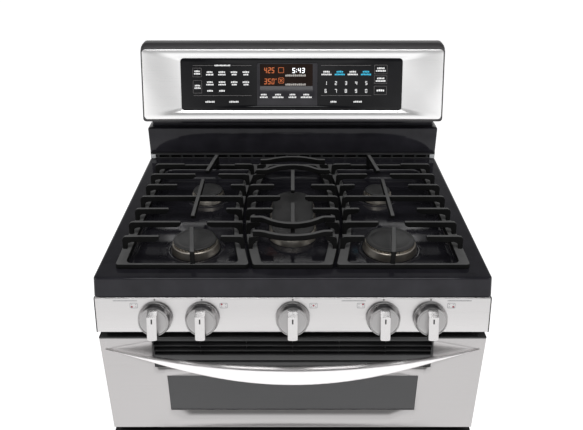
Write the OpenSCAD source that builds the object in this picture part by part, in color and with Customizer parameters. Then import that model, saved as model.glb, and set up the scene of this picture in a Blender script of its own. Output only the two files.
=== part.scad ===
// Freestanding double-oven gas range.
// +X is to the cook's right, +Y to the back, +Z up. The origin is on the floor,
// under the centre of the overall box. Lengths are in millimetres.
// "Deck frame" below means: y from the cooktop's front edge, z from its rim.

/* [Overall] */
// Width across the cooktop and the control box
range_w = 759; // [750:1:765]
// Depth from the handle's crown to the back of the control box
range_d = 735; // [733:1:740]
// Height of the cooktop rim above the floor
deck_z = 910; // [905:1:915]

/* [Cooktop] */
// Depth of the cooktop from its front edge to the riser
deck_d = 582; // [578:1:585]
// Drop of the burner well below the rim
well_drop = 28; // [24:1:30]
// Height of the cooktop's front band
band_h = 35; // [33:1:36]
// How far the front band leans out at its foot
band_lean = 12; // [11:1:13]

/* [Grates] */
// Height of the finger tops above the rim
grate_top = 38; // [36:1:42]
// Distance from one row of fingers to the next
finger_pitch = 59.6; // [58:0.1:60]
// Width of a cast bar
bar_w = 8; // [7:0.5:9]
// Depth of a finger
bar_h = 12; // [10:0.5:13]

/* [Knobs] */
// Distance of the outer knobs from the middle
knob_x_outer = 263.5; // [255:0.5:265]
// Distance of the inner knobs from the middle
knob_x_inner = 173.5; // [165:0.5:180]
// Diameter of the knob's skirt at the panel
knob_d = 65; // [60:1:66]
// How far the knob's bar stands off the panel
knob_reach = 42.5; // [40:0.5:44]
// How far a knob is pushed in before it turns
knob_push = 3; // [2:0.5:3]

/* [Doors] */
// Height of the upper oven's door
upper_door_h = 240; // [235:1:245]
// Height of the lower oven's door
lower_door_h = 436; // [430:1:440]
// Thickness of a door
door_t = 43; // [42:1:44]
// Width of a door
door_w = 755; // [750:1:757]
// Gap between the two doors
door_gap = 10; // [10:0.5:12]

/* [Handles] */
// How far the bowed handle stands off its door
handle_reach = 65; // [60:1:65]
// Height of the handle at its middle
handle_h = 38; // [34:1:42]
// Distance between the pointed ends of the handle
handle_span = 738; // [730:1:740]

/* [Control box] */
// Height of the sloping control face
face_h = 184; // [180:1:186]
// Lean of the control face from the vertical
face_tilt = 16.85; // [15:0.05:18]
// Width of the black glass in the control face
glass_w = 554; // [540:1:560]
// Height of the black glass, along the slope
glass_h = 128; // [120:1:130]

/* [Hidden] */
$fn = 48;

steel_t = 1.2;                  // body and liner sheet
enamel_t = 2;                   // cooktop sheet
door_out = 27;                  // door face ahead of the cooktop's front edge
front_y = door_out + handle_reach - range_d / 2;
back_y = range_d / 2;
door_y = front_y - door_out;    // plane of the door faces
frame_y = door_y + door_t + 3;  // plane of the chassis face
frame_t = 2;
body_w = range_w - 4;
rear_y = back_y - 3;            // outer face of the rear panel
base_z = 52;                    // underside of the chassis

// Doors, from the top down
door_drop = 120;                // upper door's top below the cooktop rim
upper_door_z = deck_z - door_drop - upper_door_h;
lower_door_z = upper_door_z - door_gap - lower_door_h;
hinge_up = 22;                  // hinge line above the door's lower edge
hinge_in = 22;                  // hinge line behind the door's face

// Ovens
oven_w = 610;
oven_d = 480;
upper_oven_z = upper_door_z + 46;
upper_oven_h = 164;
lower_oven_z = lower_door_z + 46;
lower_oven_h = 356;
rack_lift = 40;                 // upper rack above its oven floor
lower_rack_lift = 120;
rack_r = 3;
fan_bay = 38;                   // fan compartment at the back of the lower oven
fan_z = lower_oven_z + 180;

// Grates, in the deck frame
grate_y0 = 30;
grate_y1 = 514;
grate_mid = (grate_y0 + grate_y1) / 2;
grate_outer = 343;
ring_lift = 0.3;
ring_h = 10;
ring_w = 20;
seam_mid = 106.5;               // grate seam's distance from the middle, at its widest
seam_end = 80.5;                // the same at the front and back
seam_half = (grate_y1 - grate_y0) / 2;
seam_rise = seam_mid - seam_end;
seam_r = (seam_half * seam_half + seam_rise * seam_rise) / (2 * seam_rise);
seam_gap = 3;                   // half the gap between neighbouring grates
first_row = grate_mid - 3 * finger_pitch;
burner_x = 205;
burner_y_front = first_row + finger_pitch;
burner_y_rear = first_row + 5 * finger_pitch;
cap_top = -2;                   // top of the burner caps, in the deck frame

// Knob panel, in the deck frame: it carries on from the front band
panel_y = -band_lean - 0.6;
panel_z = -band_h - 2;
panel_tilt = 11;
panel_h = 73.5;
panel_t = 1.5;
knob_down = 41.5;                 // knob centre below the panel's upper edge
knob_xs = [-knob_x_outer, -knob_x_inner, 0, knob_x_inner, knob_x_outer];
stem_r = 3;
stem_fit = 0.05;
plug_r = 7;
bezel_h = 1.5;
skirt_gap = knob_push + 1;      // knob's skirt above the bezel

// Control box, in the deck frame
face_y = 541.7;
face_z = 115;
box_top = 298;
box_back = range_d - door_out - handle_reach;
riser_top = 82;
riser_back = box_back - 7;
neck_in = 22;                   // neck's front behind the riser's
neck_top = 96;
vent_slot_h = 14;

// ---------------------------------------------------------------- helpers

// Moves a part from the deck frame to the range's own frame.
module on_deck() translate([0, front_y, deck_z]) children();

// Extrudes an outline drawn in (y, z) along X, centred on the middle.
module along_x(w) rotate([90, 0, 90]) linear_extrude(w, center = true) children();

// Rectangle with round corners, centred.
module rounded(w, h, r) {
    square([w - 2 * r, h], center = true);
    square([w, h - 2 * r], center = true);
    for (sx = [-1, 1], sy = [-1, 1])
        translate([sx * (w / 2 - r), sy * (h / 2 - r)]) circle(r);
}

// Box from one corner to the opposite one.
module block(low, high) translate(low) cube(high - low);

// Places a part on the knob panel: origin at knob i, +Z out of the panel.
module at_knob(i)
    on_deck()
        translate([knob_xs[i], panel_y - knob_down * sin(panel_tilt), panel_z - knob_down * cos(panel_tilt)])
            rotate([90 - panel_tilt, 0, 0]) children();

// Places a part on the control face: +X right, +Y up the slope, +Z outwards.
module on_face()
    on_deck() translate([0, face_y, face_z]) rotate([90 - face_tilt, 0, 0]) children();

// ---------------------------------------------------------------- body

module side_panel(side) {
    outer = body_w / 2;
    color("dimgray") mirror([side < 0 ? 1 : 0, 0, 0]) {
        block([outer - steel_t, frame_y + frame_t, base_z], [outer, rear_y - steel_t, deck_z - band_h - 1]);
        block([outer - 16, frame_y + frame_t, base_z], [outer, frame_y + frame_t + steel_t, deck_z - 120]);
        block([outer - 16, rear_y - 2 * steel_t, base_z], [outer, rear_y - steel_t, deck_z - band_h - 1]);
    }
}

module side_panel_left() side_panel(-1);
module side_panel_right() side_panel(1);

cord_hole_r = 9;
cord_x = -260;
cord_z = 230;
module rear_panel()
    color("silver") difference() {
        union() {
            block([-body_w / 2, rear_y - steel_t, 150], [body_w / 2, rear_y, deck_z + 60]);
            translate([cord_x, rear_y, cord_z]) rotate([90, 0, 0]) cylinder(r = 16, h = 8);
        }
        translate([cord_x, rear_y + 1, cord_z]) rotate([90, 0, 0]) cylinder(r = cord_hole_r, h = 10);
    }

// Face frame round the two ovens, on a base tray with cross rails.
module chassis() {
    w = body_w - 2 * steel_t - 0.4;
    color("gray") {
        difference() {
            block([-w / 2, frame_y, base_z], [w / 2, frame_y + frame_t, deck_z - 116]);
            block([-oven_w / 2, frame_y - 1, upper_oven_z],
                  [oven_w / 2, frame_y + frame_t + 1, upper_oven_z + upper_oven_h]);
            block([-oven_w / 2, frame_y - 1, lower_oven_z],
                  [oven_w / 2, frame_y + frame_t + 1, lower_oven_z + lower_oven_h]);
        }
        block([-w / 2 + 16, frame_y + frame_t, base_z], [w / 2 - 16, rear_y - 5, base_z + frame_t]);
        for (side = [-1, 1]) {
            x = side * (w / 2 - 38);
            block([x - 10, frame_y + frame_t, base_z + frame_t], [x + 10, rear_y - 5, base_z + 30]);
            block([x - 10, rear_y - 25, base_z + 30], [x + 10, rear_y - 5, deck_z - 70]);
        }
    }
}

module kick_plate()
    color("black") {
        block([-body_w / 2 + 2, frame_y - 8, 42], [body_w / 2 - 2, frame_y - 6.5, lower_door_z - 12]);
        block([-body_w / 2 + 2, frame_y - 6.5, 42], [body_w / 2 - 2, frame_y - 0.2, 43.5]);
        block([-body_w / 2 + 2, frame_y - 6.5, base_z + 8], [body_w / 2 - 2, frame_y, base_z + 9.5]);
    }

leg_x = 325;
leg_ys = [frame_y + 45, rear_y - 45];
module levelling_legs()
    color("dimgray")
        for (x = [-leg_x, leg_x], y = leg_ys) translate([x, y, 0]) {
            cylinder(r = 18, h = 8);
            translate([0, 0, 7]) cylinder(r = 6, h = base_z - 7);
        }

// ---------------------------------------------------------------- ovens

// Five-walled oven box with pressed rack ledges, open to the front.
module oven_liner(z, h, ledges) {
    y0 = frame_y + frame_t;
    difference() {
        block([-oven_w / 2 - steel_t, y0, z - steel_t], [oven_w / 2 + steel_t, y0 + oven_d, z + h + steel_t]);
        block([-oven_w / 2, y0 - 1, z], [oven_w / 2, y0 + oven_d - steel_t, z + h]);
    }
    for (side = [-1, 1], ledge = ledges)
        translate([side * (oven_w / 2 - 5), y0 + 20 + (oven_d - 90) / 2, z + ledge - 5])
            cube([10, oven_d - 90, 5], center = true);
}

module upper_oven_liner() color("midnightblue") oven_liner(upper_oven_z, upper_oven_h, [rack_lift]);

module lower_oven_liner()
    color("midnightblue")
        oven_liner(lower_oven_z, lower_oven_h, [lower_rack_lift, lower_rack_lift + 100]);

// Wire rack: two side rails, a front and a back rail, and wires front to back.
rack_w = oven_w - 12;
rack_d = 400;
module oven_rack(z) {
    y0 = frame_y + frame_t + 22;
    n = 16;
    translate([0, y0, z]) {
        for (x = [-rack_w / 2 + rack_r, rack_w / 2 - rack_r])
            translate([x, 0, 0]) rotate([-90, 0, 0]) cylinder(r = rack_r, h = rack_d, $fn = 24);
        for (y = [8, rack_d / 2, rack_d - 8])
            translate([0, y, 0]) rotate([0, 90, 0])
                cylinder(r = rack_r, h = rack_w - 2 * rack_r, center = true, $fn = 24);
        for (i = [1 : n - 1])
            translate([-rack_w / 2 + rack_w * i / n, 4, 3.4]) rotate([-90, 0, 0])
                cylinder(r = 1.6, h = rack_d - 8, $fn = 16);
    }
}

module upper_oven_rack() color("silver") oven_rack(upper_oven_z + rack_lift + rack_r + 0.4);
module lower_oven_rack() color("silver") oven_rack(lower_oven_z + lower_rack_lift + rack_r + 0.4);

// Gas burners in the ovens: a broil tube under each roof and a bake tube on
// the lower floor, each a straight tube with a crossbar and mounting feet.
module tube_burner(z, foot_z) {
    y0 = frame_y + frame_t + 70;
    for (x = [-120, 120])
        translate([x, y0, z]) rotate([-90, 0, 0]) cylinder(r = 8, h = 300);
    translate([0, y0 + 150, z]) rotate([0, 90, 0]) cylinder(r = 6, h = 240, center = true);
    for (x = [-120, 120], y = [y0 + 20, y0 + 280])
        block([x - 4, y - 4, min(z, foot_z)], [x + 4, y + 4, max(z, foot_z)]);
}

module oven_burners()
    color("silver") {
        tube_burner(upper_oven_z + upper_oven_h - 18, upper_oven_z + upper_oven_h);
        tube_burner(lower_oven_z + lower_oven_h - 18, lower_oven_z + lower_oven_h);
        tube_burner(lower_oven_z + 18, lower_oven_z);
    }

fan_y = frame_y + frame_t + oven_d - fan_bay;
module fan_cover()
    color("darkslategray") difference() {
        translate([0, fan_y, fan_z]) rotate([-90, 0, 0]) cylinder(r = 100, h = fan_bay - steel_t);
        translate([0, fan_y + 2, fan_z]) rotate([-90, 0, 0]) cylinder(r = 98, h = fan_bay);
        for (a = [0 : 30 : 330])
            translate([0, fan_y - 1, fan_z]) rotate([0, a, 0]) translate([-5, 0, 22]) cube([10, 4, 50]);
    }

module convection_fan()
    color("silver") translate([0, fan_y + 8, fan_z]) rotate([-90, 0, 0]) {
        cylinder(r = 14, h = 24);
        cylinder(r = 62, h = 1.5);
        for (a = [0 : 45 : 315]) rotate([0, 0, a]) translate([40, -0.8, 0]) cube([36, 1.6, 20]);
    }

module gasket(z, h) {
    w = oven_w + 30;
    translate([0, frame_y, z + h / 2]) rotate([90, 0, 0]) linear_extrude(2.4) difference() {
        rounded(w, h + 30, 16);
        rounded(w - 14, h + 16, 10);
    }
}

module door_gaskets()
    color("slategray") {
        gasket(upper_oven_z, upper_oven_h);
        gasket(lower_oven_z, lower_oven_h);
    }

// ---------------------------------------------------------------- cooktop

well_x = 334;
well_y0 = 39;
well_y1 = 505;
module well_outline(inset)
    translate([0, (well_y0 + well_y1) / 2])
        rounded(2 * (well_x - inset), well_y1 - well_y0 - 2 * inset, 24 - inset);

burner_places = [
    [-burner_x, burner_y_front], [burner_x, burner_y_front],
    [-burner_x, burner_y_rear], [burner_x, burner_y_rear], [0, grate_mid]];
throat_r = 16;

module cooktop_deck()
    color("black") on_deck() {
        translate([0, 0, -enamel_t]) linear_extrude(enamel_t) difference() {
            translate([-range_w / 2, 0]) square([range_w, deck_d]);
            well_outline(0);
        }
        translate([0, 0, -well_drop]) linear_extrude(well_drop) difference() {
            well_outline(0);
            well_outline(enamel_t);
        }
        translate([0, 0, -well_drop - enamel_t]) linear_extrude(enamel_t) difference() {
            well_outline(0);
            for (p = burner_places) translate(p) circle(throat_r + 1);
        }
        along_x(range_w)
            polygon([[0, 0], [-band_lean, -band_h], [enamel_t - band_lean, -band_h], [enamel_t, -enamel_t],
                     [enamel_t, 0]]);
        for (side = [-1, 1])
            translate([side * (range_w / 2 - enamel_t / 2), deck_d / 2, -band_h / 2])
                cube([enamel_t, deck_d, band_h], center = true);
    }

// Upstand behind the burners; its top carries the control box.
module riser()
    color("black") on_deck() {
        difference() {
            block([-range_w / 2, deck_d + 0.1, -band_h], [range_w / 2, riser_back, riser_top]);
            block([-range_w / 2 + 2, deck_d + 2, -band_h - 1], [range_w / 2 - 2, riser_back + 1, riser_top - 2]);
            block([-range_w / 2 + 2, deck_d - 1, -band_h - 1], [range_w / 2 - 2, deck_d + 3, vent_slot_h]);
        }
        block([-range_w / 2 + 8, deck_d + neck_in, riser_top - 1], [range_w / 2 - 8, riser_back, neck_top]);
    }

// Oven vent along the foot of the riser.
module riser_vent_trim()
    color("dimgray") on_deck() difference() {
        block([-range_w / 2 + 3, deck_d - 10, 0], [range_w / 2 - 3, deck_d + 16, vent_slot_h]);
        block([-range_w / 2 + 5, deck_d - 8, -1], [range_w / 2 - 5, deck_d + 14, vent_slot_h - 2]);
        for (i = [-11 : 11])
            translate([i * 31 - 12.5, deck_d - 12, 3]) cube([25, 6, 7]);
    }

// Hollow box behind the face, open where the fascia and the glass close it.
module control_housing() {
    wall = 3;
    face_top_y = face_y + face_h * sin(face_tilt);
    face_top_z = face_z + face_h * cos(face_tilt);
    color("darkslategray") difference() {
        on_deck() intersection() {
            along_x(range_w)
                polygon([[face_y, face_z], [face_top_y, face_top_z], [600, box_top - 3], [610, box_top],
                         [box_back - 9, box_top], [box_back, box_top - 8], [box_back, 62],
                         [riser_back + 0.2, 62], [riser_back + 0.2, neck_top], [deck_d + neck_in, neck_top]]);
            translate([0, box_back + 20, (face_z + box_top) / 2 - 30]) rotate([90, 0, 0]) linear_extrude(140)
                rounded(range_w, box_top - face_z + 60, 12);
        }
        on_deck() along_x(range_w - 2 * wall - 20)
            polygon([[face_y + 10, face_z + wall], [face_top_y + wall, face_top_z - wall],
                     [box_back - wall, box_top - 9], [box_back - wall, neck_top + wall],
                     [deck_d + neck_in, neck_top + wall]]);
        on_face() translate([0, face_h / 2, -12]) linear_extrude(20) rounded(range_w - 34, face_h - 28, 6);
    }
}

module control_fascia()
    color("lightgray") on_face() translate([0, face_h / 2, 0]) linear_extrude(1.5) difference() {
        rounded(range_w - 8, face_h - 12, 9);
        translate([-3, 0]) rounded(glass_w + 0.6, glass_h + 0.6, 8.3);
    }

module control_glass()
    color("black") on_face() translate([-3, face_h / 2, 0]) linear_extrude(2.4) difference() {
        rounded(glass_w, glass_h, 8);
        translate([-11, 0]) rounded(152.6, 105.6, 3.3);
    }

module display_module()
    color("dimgray") on_face() translate([-14, face_h / 2, 0]) linear_extrude(3) rounded(152, 105, 3);

// ---------------------------------------------------------------- knob panel and gas train

module knob_panel()
    color("lightgray") on_deck() difference() {
        translate([0, panel_y, panel_z]) rotate([-panel_tilt, 0, 0]) union() {
            block([-range_w / 2, 0, -panel_h], [range_w / 2, panel_t, 0]);
            block([-range_w / 2, 0, -panel_t], [range_w / 2, 12, 0]);
            block([-range_w / 2, 0, -panel_h], [range_w / 2, 12, panel_t - panel_h]);
        }
        for (x = knob_xs)
            translate([x, panel_y - knob_down * sin(panel_tilt), panel_z - knob_down * cos(panel_tilt)])
                rotate([90 - panel_tilt, 0, 0]) cylinder(r = 8, h = 20, center = true);
    }

module knob_bezels()
    color("gray") for (i = [0 : 4]) at_knob(i) difference() {
        cylinder(r = knob_d / 2 - 1.5, h = bezel_h);
        translate([0, 0, -1]) cylinder(r = 9, h = bezel_h + 2);
    }

valve_back = 44;
valve_front = 14;
module valve_bodies()
    color("goldenrod") for (i = [0 : 4]) at_knob(i) difference() {
        union() {
            block([-13, -13, -valve_back], [13, 13, -valve_front]);
            translate([0, 0, -valve_front - 0.5]) cylinder(r = 7.5, h = valve_front - 3);
        }
        translate([0, 0, -valve_back + 6]) cylinder(r = plug_r + stem_fit, h = valve_back - 6 - valve_front - 5);
        translate([0, 0, -valve_back + 6]) cylinder(r = stem_r + stem_fit, h = valve_back);
    }

module valve_rotor(i)
    color("khaki") at_knob(i) {
        translate([0, 0, -valve_back + 6.3]) cylinder(r = plug_r, h = valve_back - 6 - valve_front - 5.6);
        translate([0, 0, -valve_back + 7]) cylinder(r = stem_r, h = valve_back - 7 + 18);
    }

// Knob: a tapered skirt, a bar grip that rises towards the foot, and a hub
// bored for the valve stem. It is hollow behind the skirt.
module knob(i)
    color("silver") at_knob(i) {
        rim_z = 22;
        rim_r = knob_d / 2 - 4;
        low = bezel_h + skirt_gap;
        difference() {
            union() {
                translate([0, 0, low]) cylinder(r1 = knob_d / 2, r2 = rim_r, h = rim_z - low);
                intersection() {
                    along_x(19)
                        polygon([[-rim_r, low], [-rim_r, knob_reach], [17, knob_reach - 6.5],
                                 [rim_r, rim_z + 1], [rim_r, low]]);
                    translate([0, 0, low]) cylinder(r = rim_r, h = knob_reach);
                }
            }
            translate([0, 0, low - 1]) difference() {
                cylinder(r = rim_r - 4, h = rim_z - low - 2);
                cylinder(r = plug_r, h = rim_z);
            }
            translate([0, 0, low - 1]) cylinder(r = stem_r + stem_fit, h = 18 + knob_push + 2 - low + 1);
        }
    }

manifold_y = 56;
manifold_z = -86;
supply_x = 300;                 // supply pipe, to the right of the middle
supply_back = 500;              // supply pipe's drop behind the manifold
module gas_manifold()
    color("silver") on_deck() {
        translate([0, manifold_y, manifold_z]) rotate([0, 90, 0]) cylinder(r = 9, h = 2 * supply_x, center = true);
        for (x = knob_xs)
            translate([x, manifold_y - 31.6, manifold_z + 1]) rotate([-90, 0, 0]) cylinder(r = 5, h = 30);
        translate([supply_x, manifold_y, manifold_z]) sphere(r = 10);
        translate([supply_x, manifold_y, manifold_z]) rotate([-90, 0, 0]) cylinder(r = 7, h = supply_back);
        translate([supply_x, manifold_y + supply_back, manifold_z]) sphere(r = 8);
        translate([supply_x, manifold_y + supply_back, 150 - deck_z])
            cylinder(r = 7, h = deck_z + manifold_z - 150);
    }

inlet_r = 9.2;
inlet_len = 14;
reg_x = supply_x;
reg_y = front_y + manifold_y + supply_back;
module gas_regulator()
    color("lightsteelblue") difference() {
        union() {
            block([reg_x - 20, reg_y - 20, 100], [reg_x + 20, reg_y + 24, 149.8]);
            translate([reg_x, reg_y + 23, 122]) rotate([-90, 0, 0]) cylinder(r = 15, h = 16);
            translate([reg_x - 19, reg_y, 124]) rotate([0, -90, 0]) cylinder(r = 24, h = 18);
        }
        translate([reg_x, reg_y + 39 - inlet_len, 122]) rotate([-90, 0, 0]) cylinder(r = inlet_r, h = 20);
    }

// ---------------------------------------------------------------- burners

burner_rs = [51.5, 57, 41, 36];   // base radii: front left, front right, rear left, rear right
cap_in = 6;                     // cap's edge inside its base's edge
cap_t = 5;
crown_h = well_drop + cap_top - cap_t - 0.4;

// Aluminium base on the well floor, a ported crown, and the gas throat below.
module round_burner(i)
    color("silver") on_deck() translate([burner_places[i][0], burner_places[i][1], 0]) {
        r = burner_rs[i];
        translate([0, 0, -well_drop]) rotate_extrude()
            polygon([[0, 0], [r, 0], [r, 3], [r - 3.5, crown_h - 3.6], [r - 7, crown_h - 1.6],
                     [r - 8, crown_h], [0, crown_h]]);
        translate([0, 0, -well_drop - 26]) cylinder(r = throat_r, h = 27);
    }

module round_cap(i)
    color("black") on_deck() translate([burner_places[i][0], burner_places[i][1], cap_top - cap_t])
        rotate_extrude() {
            r = burner_rs[i] - cap_in;
            polygon([[0, 0], [r - 2, 0], [r, 2], [r, cap_t - 2.5], [r - 2, cap_t - 0.5], [r - 7, cap_t], [0, cap_t]]);
        }

oval_w = 93;
oval_l = 218;
module stadium(w, l) {
    square([w, l - w], center = true);
    for (s = [-1, 1]) translate([0, s * (l - w) / 2]) circle(w / 2);
}

module burner_centre()
    color("silver") on_deck() translate([0, grate_mid, -well_drop]) {
        linear_extrude(4) stadium(oval_w + 12, oval_l + 12);
        translate([0, 0, 3]) linear_extrude(crown_h - 3) stadium(oval_w - 4, oval_l - 4);
        translate([0, 0, -26]) cylinder(r = throat_r, h = 27);
    }

module cap_centre()
    color("black") on_deck() translate([0, grate_mid, cap_top - cap_t]) {
        linear_extrude(cap_t - 2) stadium(oval_w, oval_l);
        translate([0, 0, cap_t - 3]) linear_extrude(3) stadium(oval_w - 5, oval_l - 5);
    }

module igniters()
    color("white") on_deck() for (i = [0 : 4]) {
        reach = i == 4 ? oval_l / 2 + 12 : burner_rs[i] + 5;
        translate([burner_places[i][0], burner_places[i][1] + reach, -well_drop]) {
            cylinder(r = 3.5, h = 9, $fn = 24);
            cylinder(r = 1.2, h = 15, $fn = 24);
        }
    }

// ---------------------------------------------------------------- grates

// Grate seam's distance from the middle, at depth y.
function seam_x(y) = seam_mid - seam_r + sqrt(seam_r * seam_r - (y - grate_mid) * (y - grate_mid));
function row_y(i) = first_row + i * finger_pitch;

// Disc whose edge is the seam on the +X side, moved out by d.
module seam_disc(d) translate([seam_mid - seam_r, grate_mid]) circle(seam_r + d, $fn = 180);

module finger(x0, x1, y) block([x0, y - bar_w / 2, grate_top - bar_h], [x1, y + bar_w / 2, grate_top]);

// Post from the ring up to a finger's end.
module post(x, y) block([x - bar_w / 2, y - bar_w / 2, 2], [x + bar_w / 2, y + bar_w / 2, grate_top]);

// Bar along Y at the finger tops, running in towards the middle of the range
// and down onto the front of the ring.
strut_x = 207;                  // strut's distance from the middle, beside its burner
strut_turn = 8;
mid_bar_x = 211;
module front_strut(x, y_end)
    translate([x, y_end, 0]) rotate([0, 0, -strut_turn]) translate([0, -y_end, 0]) along_x(bar_w + 1)
        polygon([[y_end, grate_top], [grate_y0 + 4, grate_top], [grate_y0 + 1, grate_top - 3],
                 [grate_y0 + 1, 1], [grate_y0 + 8, 1], [grate_y0 + 10, grate_top - bar_h],
                 [y_end, grate_top - bar_h]]);

module back_to_front() translate([0, 2 * grate_mid, 0]) mirror([0, 1, 0]) children();

// Region of the right-hand grate, seen from above, shrunk by d.
module side_region(d)
    difference() {
        translate([seam_end, grate_y0 + d * 0.4]) square([grate_outer - seam_end - d, grate_y1 - grate_y0 - 0.8 * d]);
        seam_disc(seam_gap + d);
    }

module side_grate() {
    translate([0, 0, ring_lift]) linear_extrude(ring_h) difference() {
        side_region(0);
        side_region(ring_w);
    }
    for (i = [0 : 6]) {
        y = row_y(i);
        inner = seam_x(y) + seam_gap;
        reach = abs(i - 3) == 2 ? 26.5 : 61;
        finger(inner, i == 3 ? grate_outer - 2 : burner_x - reach, y);
        if (i != 3) finger(burner_x + reach, grate_outer - 2, y);
        post(inner + bar_w / 2, y);
        post(grate_outer - 2 - bar_w / 2, y);
    }
    front_strut(strut_x, row_y(1) - 20);
    back_to_front() front_strut(strut_x, row_y(1) - 20);
    block([mid_bar_x - bar_w / 2, row_y(1) + 26, grate_top - bar_h],
          [mid_bar_x + bar_w / 2, row_y(5) - 26, grate_top]);
}

module grate_right() color("dimgray") on_deck() side_grate();
module grate_left() color("dimgray") on_deck() mirror([1, 0, 0]) side_grate();

module centre_region(d)
    intersection() {
        translate([-seam_mid, grate_y0 + d * 0.4]) square([2 * seam_mid, grate_y1 - grate_y0 - 0.8 * d]);
        seam_disc(-seam_gap - d);
        mirror([1, 0]) seam_disc(-seam_gap - d);
    }

// Cross bar on row i, bowed out by rise between x = -bow_half and bow_half.
bow_half = 60;
module bowed_bar(i, rise) {
    y = row_y(i);
    end = seam_x(y) - seam_gap;
    r = (bow_half * bow_half + rise * rise) / (2 * rise);
    finger(-end, -bow_half + 1, y);
    finger(bow_half - 1, end, y);
    translate([0, 0, grate_top - bar_h]) linear_extrude(bar_h) intersection() {
        translate([0, y - rise + r]) difference() {
            circle(r + bar_w / 2);
            circle(r - bar_w / 2);
        }
        translate([-bow_half, y - rise - bar_w]) square([2 * bow_half, rise + 1.5 * bar_w]);
    }
    post(-end + bar_w / 2, y);
    post(end - bar_w / 2, y);
}

module centre_half() {
    bowed_bar(0, 18);
    bowed_bar(1, 28);
    block([-bar_w / 2, row_y(1) - 28, grate_top - bar_h], [bar_w / 2, grate_mid - 28, grate_top]);
}

module grate_centre()
    color("dimgray") on_deck() {
        translate([0, 0, ring_lift]) linear_extrude(ring_h) difference() {
            centre_region(0);
            centre_region(ring_w);
        }
        centre_half();
        back_to_front() centre_half();
        for (i = [2 : 4], side = [0, 1]) mirror([side, 0, 0]) {
            y = row_y(i);
            end = seam_x(y) - seam_gap;
            finger(i == 3 ? 27 : 42, end, y);
            post(end - bar_w / 2, y);
        }
    }

// ---------------------------------------------------------------- doors

// A door's parts are drawn with y = 0 at its face and z = 0 at its lower edge.
module at_door(z) translate([0, door_y, z]) children();

vent_w = 550;
strip_t = 2.8;                  // black strip along the door's top
vent_top = strip_t + 0.4;       // vent's upper edge below the door's top
vent_low = 75;                  // vent's lower edge below the door's top
window_side = 125;              // window's distance from the door's ends
function window_top(h) = h - vent_low - 22;
window_low = 50;

// Folded outer skin with cut-outs for the vent and the window.
module door_skin(h)
    color("lightgray") difference() {
        union() {
            block([-door_w / 2, 0, 0], [door_w / 2, 1.5, h - vent_top]);
            block([-door_w / 2, 0, 0], [door_w / 2, hinge_in, 1.5]);
            for (side = [0, 1]) mirror([side, 0, 0])
                block([door_w / 2 - 1.5, 0, 0], [door_w / 2, hinge_in, h - vent_top]);
        }
        block([-vent_w / 2, -1, h - vent_low], [vent_w / 2, 3, h]);
        block([window_side - door_w / 2, -1, window_low], [door_w / 2 - window_side, 3, window_top(h)]);
    }

// Louvred pocket behind the handle: a pan, and blades given by the drop of
// their upper edge below the door's top and the height of their front lip.
vent_blades = [[4, 7], [21.8, 1.5], [34.3, 1.5], [45, 14], [63, 10]];
module door_vent(h)
    color("black") {
        w = vent_w - 0.8;
        low = h - vent_low + 0.4;
        top = h - vent_top;
        difference() {
            union() {
                block([-w / 2, 0.4, low], [w / 2, 22, top]);
                block([-w / 2 - 6, 1.5, low - 6], [w / 2 + 6, 3, top]);
            }
            block([2 - w / 2, -1, low + 2], [w / 2 - 2, 20, top - 0.8]);
        }
        for (blade = vent_blades) {
            block([1 - w / 2, 1, h - blade[0] - blade[1]], [w / 2 - 1, 3, h - blade[0]]);
            block([1 - w / 2, 2, h - blade[0] - 1.5], [w / 2 - 1, 21, h - blade[0]]);
        }
    }

// Bowed bar, widest at the middle, whose pointed ends run out on the door.
handle_up = 30;                 // handle's upper edge below the door's top
module door_handle(h)
    color("lightgray") {
        half = handle_span / 2;
        tip_cut = 3;
        inner_half = half - 20;
        inner_reach = handle_reach - 17;
        outer_r = (half * half + handle_reach * handle_reach) / (2 * handle_reach);
        inner_r = (inner_half * inner_half + inner_reach * inner_reach) / (2 * inner_reach);
        low_r = (half * half + handle_h * handle_h) / (2 * handle_h);
        intersection() {
            translate([0, 0, h - handle_up - handle_h]) linear_extrude(handle_h) difference() {
                translate([0, outer_r - handle_reach]) circle(outer_r, $fn = 360);
                translate([0, inner_r - inner_reach]) circle(inner_r, $fn = 360);
            }
            translate([tip_cut - half, -handle_reach - 1, 0])
                cube([handle_span - 2 * tip_cut, handle_reach + 1, h]);
            translate([0, 0, h - handle_up - handle_h + low_r]) rotate([90, 0, 0])
                cylinder(r = low_r, h = handle_reach + 2, $fn = 360);
        }
    }

// Outer and inner panes.
module door_glass(h)
    color("darkslategray") {
        grow = 12;
        inner_y = door_t - steel_t - 4;
        block([window_side - grow - door_w / 2, 1.5, window_low - grow],
              [door_w / 2 - window_side + grow, 5.5, window_top(h) + grow]);
        block([window_side - grow - door_w / 2, inner_y, window_low - grow],
              [door_w / 2 - window_side + grow, inner_y + 4, window_top(h) + grow]);
    }

// Black inner pan with the door's top strip, the inner window opening and the
// two pins the door turns on.
pin_r = 4;
pin_len = 26;
module door_liner(h)
    color("black") {
        w = door_w - 3.6;
        back = door_t;
        low = hinge_up - 3;
        difference() {
            block([-w / 2, hinge_in + 0.4, low], [w / 2, back, h]);
            block([-w / 2 + steel_t, hinge_in - 1, low + steel_t], [w / 2 - steel_t, back - steel_t, h - steel_t]);
            block([window_side - door_w / 2, hinge_in, window_low],
                  [door_w / 2 - window_side, back + 1, window_top(h)]);
        }
        block([-door_w / 2 + 0.5, 0, h - strip_t], [door_w / 2 - 0.5, hinge_in + 3, h]);
        for (x = [-w / 2, w / 2 - pin_len])
            translate([x, hinge_in, hinge_up]) rotate([0, 90, 0]) cylinder(r = pin_r, h = pin_len);
    }

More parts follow.
